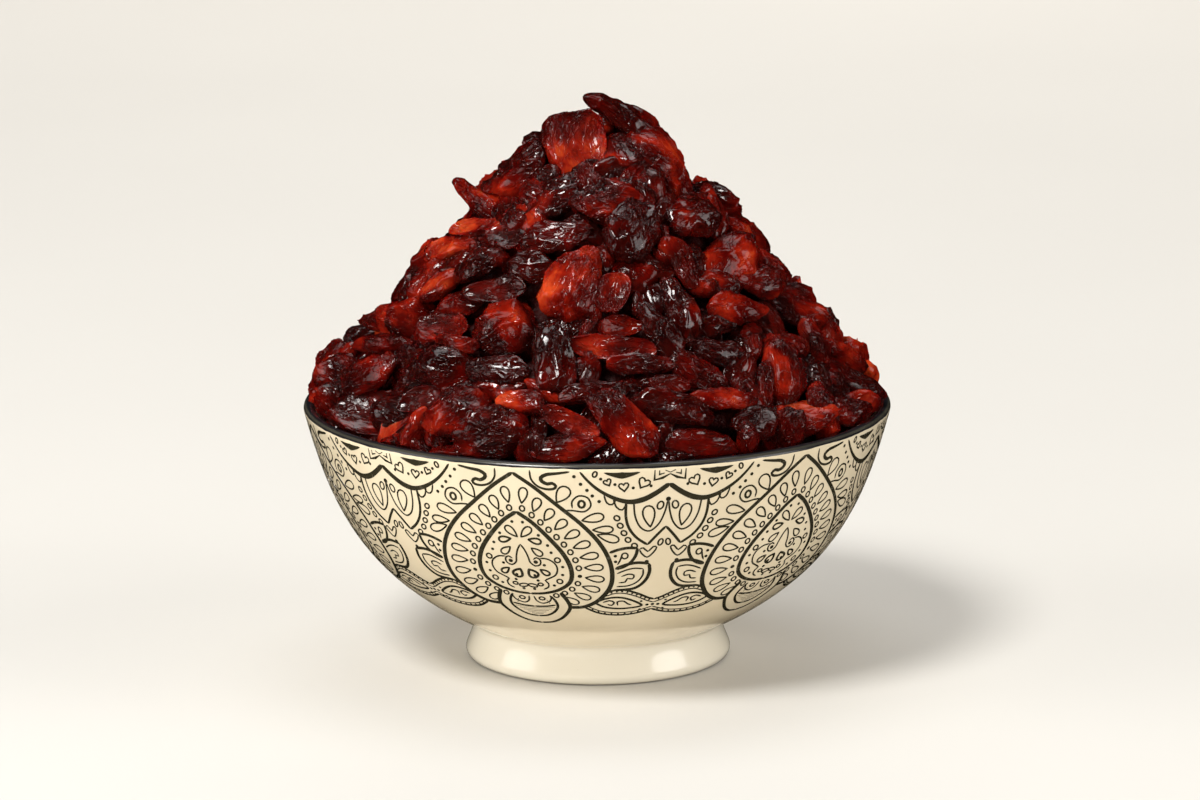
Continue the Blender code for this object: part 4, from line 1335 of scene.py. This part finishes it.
def cut(points, size, rng):
    """Cuts some cranberries open: what stands over a slanted plane sinks in behind it instead.

    Gives the moved points and how much each one is on the cut face, from 0 to 1."""
    lean, tilt = (rng.uniform(-most, most) for most in CUT_SLANT)
    slant = unit(np.array((lean, tilt, 1.0)))
    level = rng.uniform(*CUT_LEVEL) * size[2]
    if rng.uniform() > CUT_SHARE:
        return points, np.zeros(len(points))
    over = np.clip(points @ slant - level, 0, None)
    return points - CUT_SINK * over[:, None] * slant, np.clip(over / CUT_EDGE, 0, 1)


def skin(points, size, around, rng):
    """Folds and wrinkles on a cranberry's form, and what its colour needs to know of them.

    The skin is moved along its normals by the large ridges, less their mean, and by smaller ridges
    within the patches that have dried out most. A cut face has lower folds."""
    points, flesh = cut(points, size, rng)
    swayed = points + SWAY * three_waves(points, SWAY_SPACING, 4, rng)
    folds = creases(swayed, size, FOLD_CELLS, FOLD_WIDTH, rng)
    swayed = points + FINE_SWAY_SHARE * SWAY * three_waves(points, FINE_SWAY_SPACING, 4, rng)
    wrinkles = creases(swayed, size, WRINKLE_CELLS, WRINKLE_WIDTH, rng)
    dried = np.clip(0.5 + 0.9 * waves(points, PATCH_SPACING, 4, rng), 0, 1)
    patch = PATCH_LEAST + (1 - PATCH_LEAST) * dried
    share = np.clip(size[1] / FULL_RELIEF_WIDTH, *RELIEF_SHARES) * (1 - CUT_CALM * flesh)
    height = FOLD_HEIGHT * (folds - FOLD_MEAN)
    height = share * (height + WRINKLE_HEIGHT * patch * (wrinkles - WRINKLE_MEAN))
    formed = points + height[:, None] * grid_normals(points, around)
    return formed, {"wrinkle": wrinkles, "patch": patch, "flesh": flesh}


def kept_in(points):
    """Moves what would touch the bowl's lip or wall, or stand over the heap's top, just clear."""
    reach = np.hypot(points[:, 0], points[:, 1])
    share = np.minimum(room(points[:, 2]) / np.maximum(reach, MM), 1.0)
    points = points * np.column_stack((share, share, np.ones_like(share)))
    points[:, 2] = np.minimum(points[:, 2], HEAP_TOP - TOP_GAP)
    return points


def leaning(points):
    """Moves a cranberry at the edge of the heap out and up as far as there is room over the lip."""
    outward = points.mean(axis=0) * (1, 1, 0)
    edge = np.linalg.norm(outward)
    share = np.clip((edge - RIM_RADIUS + LEAN_EDGE) / LEAN_RUN, 0, 1)
    free = RIM_RADIUS - BERRY_GAP - np.hypot(points[:, 0], points[:, 1]).max()
    return points + share * np.clip(free, 0, LEAN_OVER) * (outward / edge + (0, 0, 1))


def drawn_tone(rng, usual, ends):
    """A random tone, from a usual one and its spread, kept between two ends."""
    return float(np.clip(rng.normal(*usual), *ends))


def heap_layout():
    """All outer cranberries where they lie, with the tone of each."""
    lengths = np.linspace(LARGEST, SMALLEST, FILL_COUNT)
    rng = np.random.default_rng(LAYOUT_SEED)
    berries = settle(fill_berries(shown_berries(), rng, lengths))
    tones = np.random.default_rng(TONE_SEED)
    outer_grid, gap_grid = ball_grid(AROUND, ALONG), ball_grid(GAP_AROUND, GAP_ALONG)
    for index, one in enumerate(berries):
        directions, quads, triangles = gap_grid if one["depth"] else outer_grid
        one["seed"] = (LAYOUT_SEED, index)
        size = one["size"] * (1, FACET_GROWTH, FACET_GROWTH)
        form = berry_form(directions, size, np.random.default_rng(one["seed"]))
        form = form @ one["axes"].T + one["centre"]
        one["centre"] = one["centre"] + seat(one, form, quads, triangles)
        if one["tone"] is None:
            one["tone"] = drawn_tone(tones, FILL_TONES, FILL_TONE_ENDS)
    return berries


def heap_beneath(outer):
    """Smaller cranberries that show in the gaps between the outer ones, a little deeper."""
    rng = np.random.default_rng(BENEATH_SEED)
    lengths = np.linspace(*BENEATH_SIZES, BENEATH_COUNT)
    berries = fill_berries(outer, rng, lengths, BENEATH_DEPTH, BENEATH_LOW)[len(outer):]
    for index, one in enumerate(berries):
        one["seed"] = (BENEATH_SEED, index)
        # Painted shade: these take darker tones than the outer cranberries, so the gaps look deeper
        one["tone"] = drawn_tone(rng, SHADED_BENEATH_TONES, SHADED_BENEATH_TONE_ENDS)
    return berries


def cranberries(name, berries, around, lengthwise, finish):
    """Single cranberries as one piece: each one's form and folds, turned and moved to its place."""
    directions, quads, triangles = ball_grid(around, lengthwise, CROWDING)
    parts, layers = [], {label: [] for label in ("tone", "wrinkle", "patch", "flesh", "skin")}
    for one in berries:
        rng = np.random.default_rng(one["seed"])
        form = berry_form(directions, one["size"], rng)
        formed, facts = skin(form, one["size"], around, rng)
        placed = leaning(formed @ one["axes"].T + one["centre"])
        parts.append((kept_in(placed), quads, triangles))
        facts["tone"] = np.full(len(form), one["tone"])
        facts["skin"] = form + rng.uniform(0, 1, 3)
        for label, values in facts.items():
            layers[label].append(values)
    layers = {label: np.concatenate(values) for label, values in layers.items()}
    dress(mesh_piece(name, *joined(parts), layers), finish, "dried_cranberry", "cranberry_heap")


def fruit_skin():
    """Glossy dried skin: near-black wine to bright red by its tone, with a painted glow of light
    through the skin that makes it clearer red where it is smooth and darker in the wrinkled
    patches, a painted highlight along the wrinkle ridges, fine lines that run lengthwise and a
    sticky shine."""
    finish = Finish(
        "dried_cranberry_skin",
        subsurface_weight=0.5,
        subsurface_radius=(1.0, 0.08, 0.04),
        subsurface_scale=1.3 * MM,
        ior=1.45,
        specular_ior_level=0.27,
        coat_roughness=0.06,
    )
    facts = ("tone", "wrinkle", "patch", "flesh")
    tone, wrinkle, patch, flesh = (finish.attribute(name) for name in facts)
    where = finish.attribute("skin", "Vector")
    half_length = {0: where, 1: (0.5, 1.0, 1.0)}
    stretched = finish.node("VectorMath", {"operation": "MULTIPLY"}, half_length)
    cloud = finish.noise(where, 6 * MM, 3.0)
    glassy = finish.noise(where, 4.1 * MM, 2.0)
    grain = finish.noise(stretched, 0.6 * MM, 1.0, 0.5)
    edges = finish.cell_edges(stretched, 1.3 * MM)
    level = abs(finish.noise(stretched, 2.0 * MM, 2.0, 0.5, 0.8) - 0.5)
    shade = 0.05 + 0.80 * tone + 1.45 * (cloud - 0.5) + 0.25 * (grain - 0.5)
    # Painted glow of light through the skin: clearer, brighter red where the skin is smooth, darker
    # in the wrinkled patches
    shade = shade - 0.35 * (patch - 0.5) + 0.1 * flesh
    colour = finish.node("ValToRGB", {"stops": FRUIT_STOPS}, {0: shade})
    # Painted highlight: the wrinkle ridges are blended toward a pale red, for the sheen along them
    finish.drive("Base Color", finish.blend(0.15 * wrinkle, colour, PAINTED_RIDGE_HIGHLIGHT))
    finish.drive("Roughness", 0.06 + 0.06 * patch + 0.10 * (grain - 0.5) + 0.08 * flesh)
    finish.drive("Coat Weight", finish.ease(glassy - 0.25 * tone, 0.38, 0.52, 0.0, 0.64))
    rough = patch * patch
    fine = finish.bump(grain * (0.1 + 0.9 * rough), 0.24 * MM)
    lines = finish.ease(level, 0.0, 0.035, 1.0, 0.0) * (0.5 + 0.5 * rough)
    net = finish.ease(edges, 0.0, 0.16, 0.9, 0.0) * rough + lines
    finish.drive("Normal", finish.bump(net, 0.26 * MM, fine))
    return finish


def build_heap():
    """The outer cranberries in four pieces from dark to bright, those beneath, and the core."""
    outer = heap_layout()
    finish = fruit_skin()
    ordered = sorted(outer, key=lambda one: one["tone"])
    kinds = ("darkest", "wine", "ruby", "brightest")
    for kind, group in zip(kinds, np.array_split(np.arange(len(ordered)), len(kinds))):
        group = [ordered[k] for k in group]
        cranberries("cranberries_" + kind, group, FINE_AROUND, FINE_ALONG, finish)
    beneath = heap_beneath(outer)
    cranberries("cranberries_beneath", beneath, BENEATH_AROUND, BENEATH_ALONG, finish)
    build_core()


def build_core():
    """The middle of the heap: the bowl's inside filled up to the slope, a little lumpy, and
    coloured near-black red as painted shade in the gaps between the cranberries.
    """
    wall = inner_wall(DARK_CORE_STEPS[0]) + (-GAP, GAP)
    wall = wall[wall[:, 1] < RIM_HEIGHT - DARK_CORE_START]
    heights = np.linspace(0.0, HEAP_RISE - 2 * DARK_CORE_DEPTH, DARK_CORE_STEPS[1])
    slope = np.column_stack((envelope_radius(heights) - DARK_CORE_DEPTH, heights + RIM_HEIGHT))
    crown = [(0.0, RIM_HEIGHT + HEAP_RISE - DARK_CORE_CROWN * DARK_CORE_DEPTH)]
    profile = np.vstack(([(0.0, FLOOR_HEIGHT + GAP)], wall, slope, crown))

    def lumps(rings, turn):
        """Sines of the turn and the height, which start above the rim."""
        height = rings[:, 1][:, None]
        above = np.clip((height - RIM_HEIGHT) / DARK_CORE_LUMP_RISE, 0, 1)
        many, few = DARK_CORE_WAVES
        climbing = np.sin(many * turn + DARK_CORE_CLIMB * height)
        return above * DARK_CORE_LUMP * climbing * np.sin(few * turn)

    core = turned("heap_core", profile, DARK_CORE_SEGMENTS, lumps)
    finish = Finish("shaded_core_fruit", ior=1.4, specular_ior_level=0.2)
    core_noise = finish.noise(finish.place(), 3 * MM, 4.0)
    # Painted shade: the core's near-black red makes the gaps between the cranberries read as deep
    # shade
    finish.drive("Base Color", finish.blend(core_noise, *CORE_SHADE_RED))
    finish.drive("Roughness", 0.3 + 0.2 * core_noise)
    finish.drive("Normal", finish.bump(core_noise, 2.5 * MM))
    dress(core, finish, "dried_cranberry", "cranberry_heap")


def build_floor():
    """A plain pale floor, far wider than the view."""
    signs = np.array(((-1, -1, 0), (1, -1, 0), (1, 1, 0), (-1, 1, 0)))
    face, none = np.array(((0, 1, 2, 3),)), np.zeros((0, 3), int)
    floor = mesh_piece("floor", FLOOR_HALF * signs, face, none)
    finish = Finish("pale_floor")
    tint = finish.noise(finish.place(), 0.3, 3.0)
    finish.drive("Base Color", finish.blend(tint, *PALE_FLOOR))
    finish.drive("Roughness", 0.6 + 0.1 * tint)
    floor.data.materials.append(finish.material)
    floor.visible_glossy = False


def soft_light(name, place, size, power, colour, shines):
    """An oval soft light that faces the rim's middle."""
    light = bpy.data.lights.new(name, "AREA")
    light.shape = "ELLIPSE"
    light.size, light.size_y = size
    light.energy = power
    light.color = colour
    made = bpy.data.objects.new(name, light)
    made.visible_glossy = shines
    bpy.context.scene.collection.objects.link(made)
    aim = Vector((0, 0, RIM_HEIGHT)) - Vector(place)
    facing = aim.to_track_quat("-Z", "Y").to_matrix().to_4x4()
    made.matrix_world = Matrix.Translation(place) @ facing


def build_lights():
    """The soft lights, and an even surround that doesn't show in the gloss."""
    for light in LIGHTS:
        soft_light(*light)
    world = bpy.data.worlds.new("soft_surround")
    world.use_nodes = True
    back = world.node_tree.nodes["Background"]
    back.inputs["Color"].default_value = SURROUND
    back.inputs["Strength"].default_value = SURROUND_STRENGTH
    bpy.context.scene.world = world
    world.cycles_visibility.glossy = False
    bpy.context.scene.view_settings.view_transform = "Standard"


def build_camera():
    """The photograph's view: at the rim's middle, looking a little down, slightly rolled."""
    forward = Vector((0, math.cos(CAMERA_TILT), -math.sin(CAMERA_TILT)))
    upward = Vector((0, math.sin(CAMERA_TILT), math.cos(CAMERA_TILT)))
    facing = Matrix(((1, 0, 0), upward, -forward)).transposed().to_4x4()
    roll = Matrix.Rotation(CAMERA_ROLL, 4, "Z")
    place = Vector((0, 0, RIM_HEIGHT)) - VIEW_DISTANCE * forward
    wide, high = PHOTO_SIZE
    data = bpy.data.cameras.new("camera")
    data.sensor_width = SENSOR_WIDTH
    data.lens = FOCAL_LENGTH / wide * SENSOR_WIDTH
    data.shift_x = -(AXIS_PIXEL[0] - wide / 2) / wide
    data.shift_y = (AXIS_PIXEL[1] - high / 2) / wide
    camera = bpy.data.objects.new("camera", data)
    camera.matrix_world = Matrix.Translation(place) @ facing @ roll
    bpy.context.scene.collection.objects.link(camera)
    bpy.context.scene.camera = camera


build_camera()
build_floor()
build_lights()
build_bowl()
build_ornament()
build_heap()

bpy.context.view_layer.update()
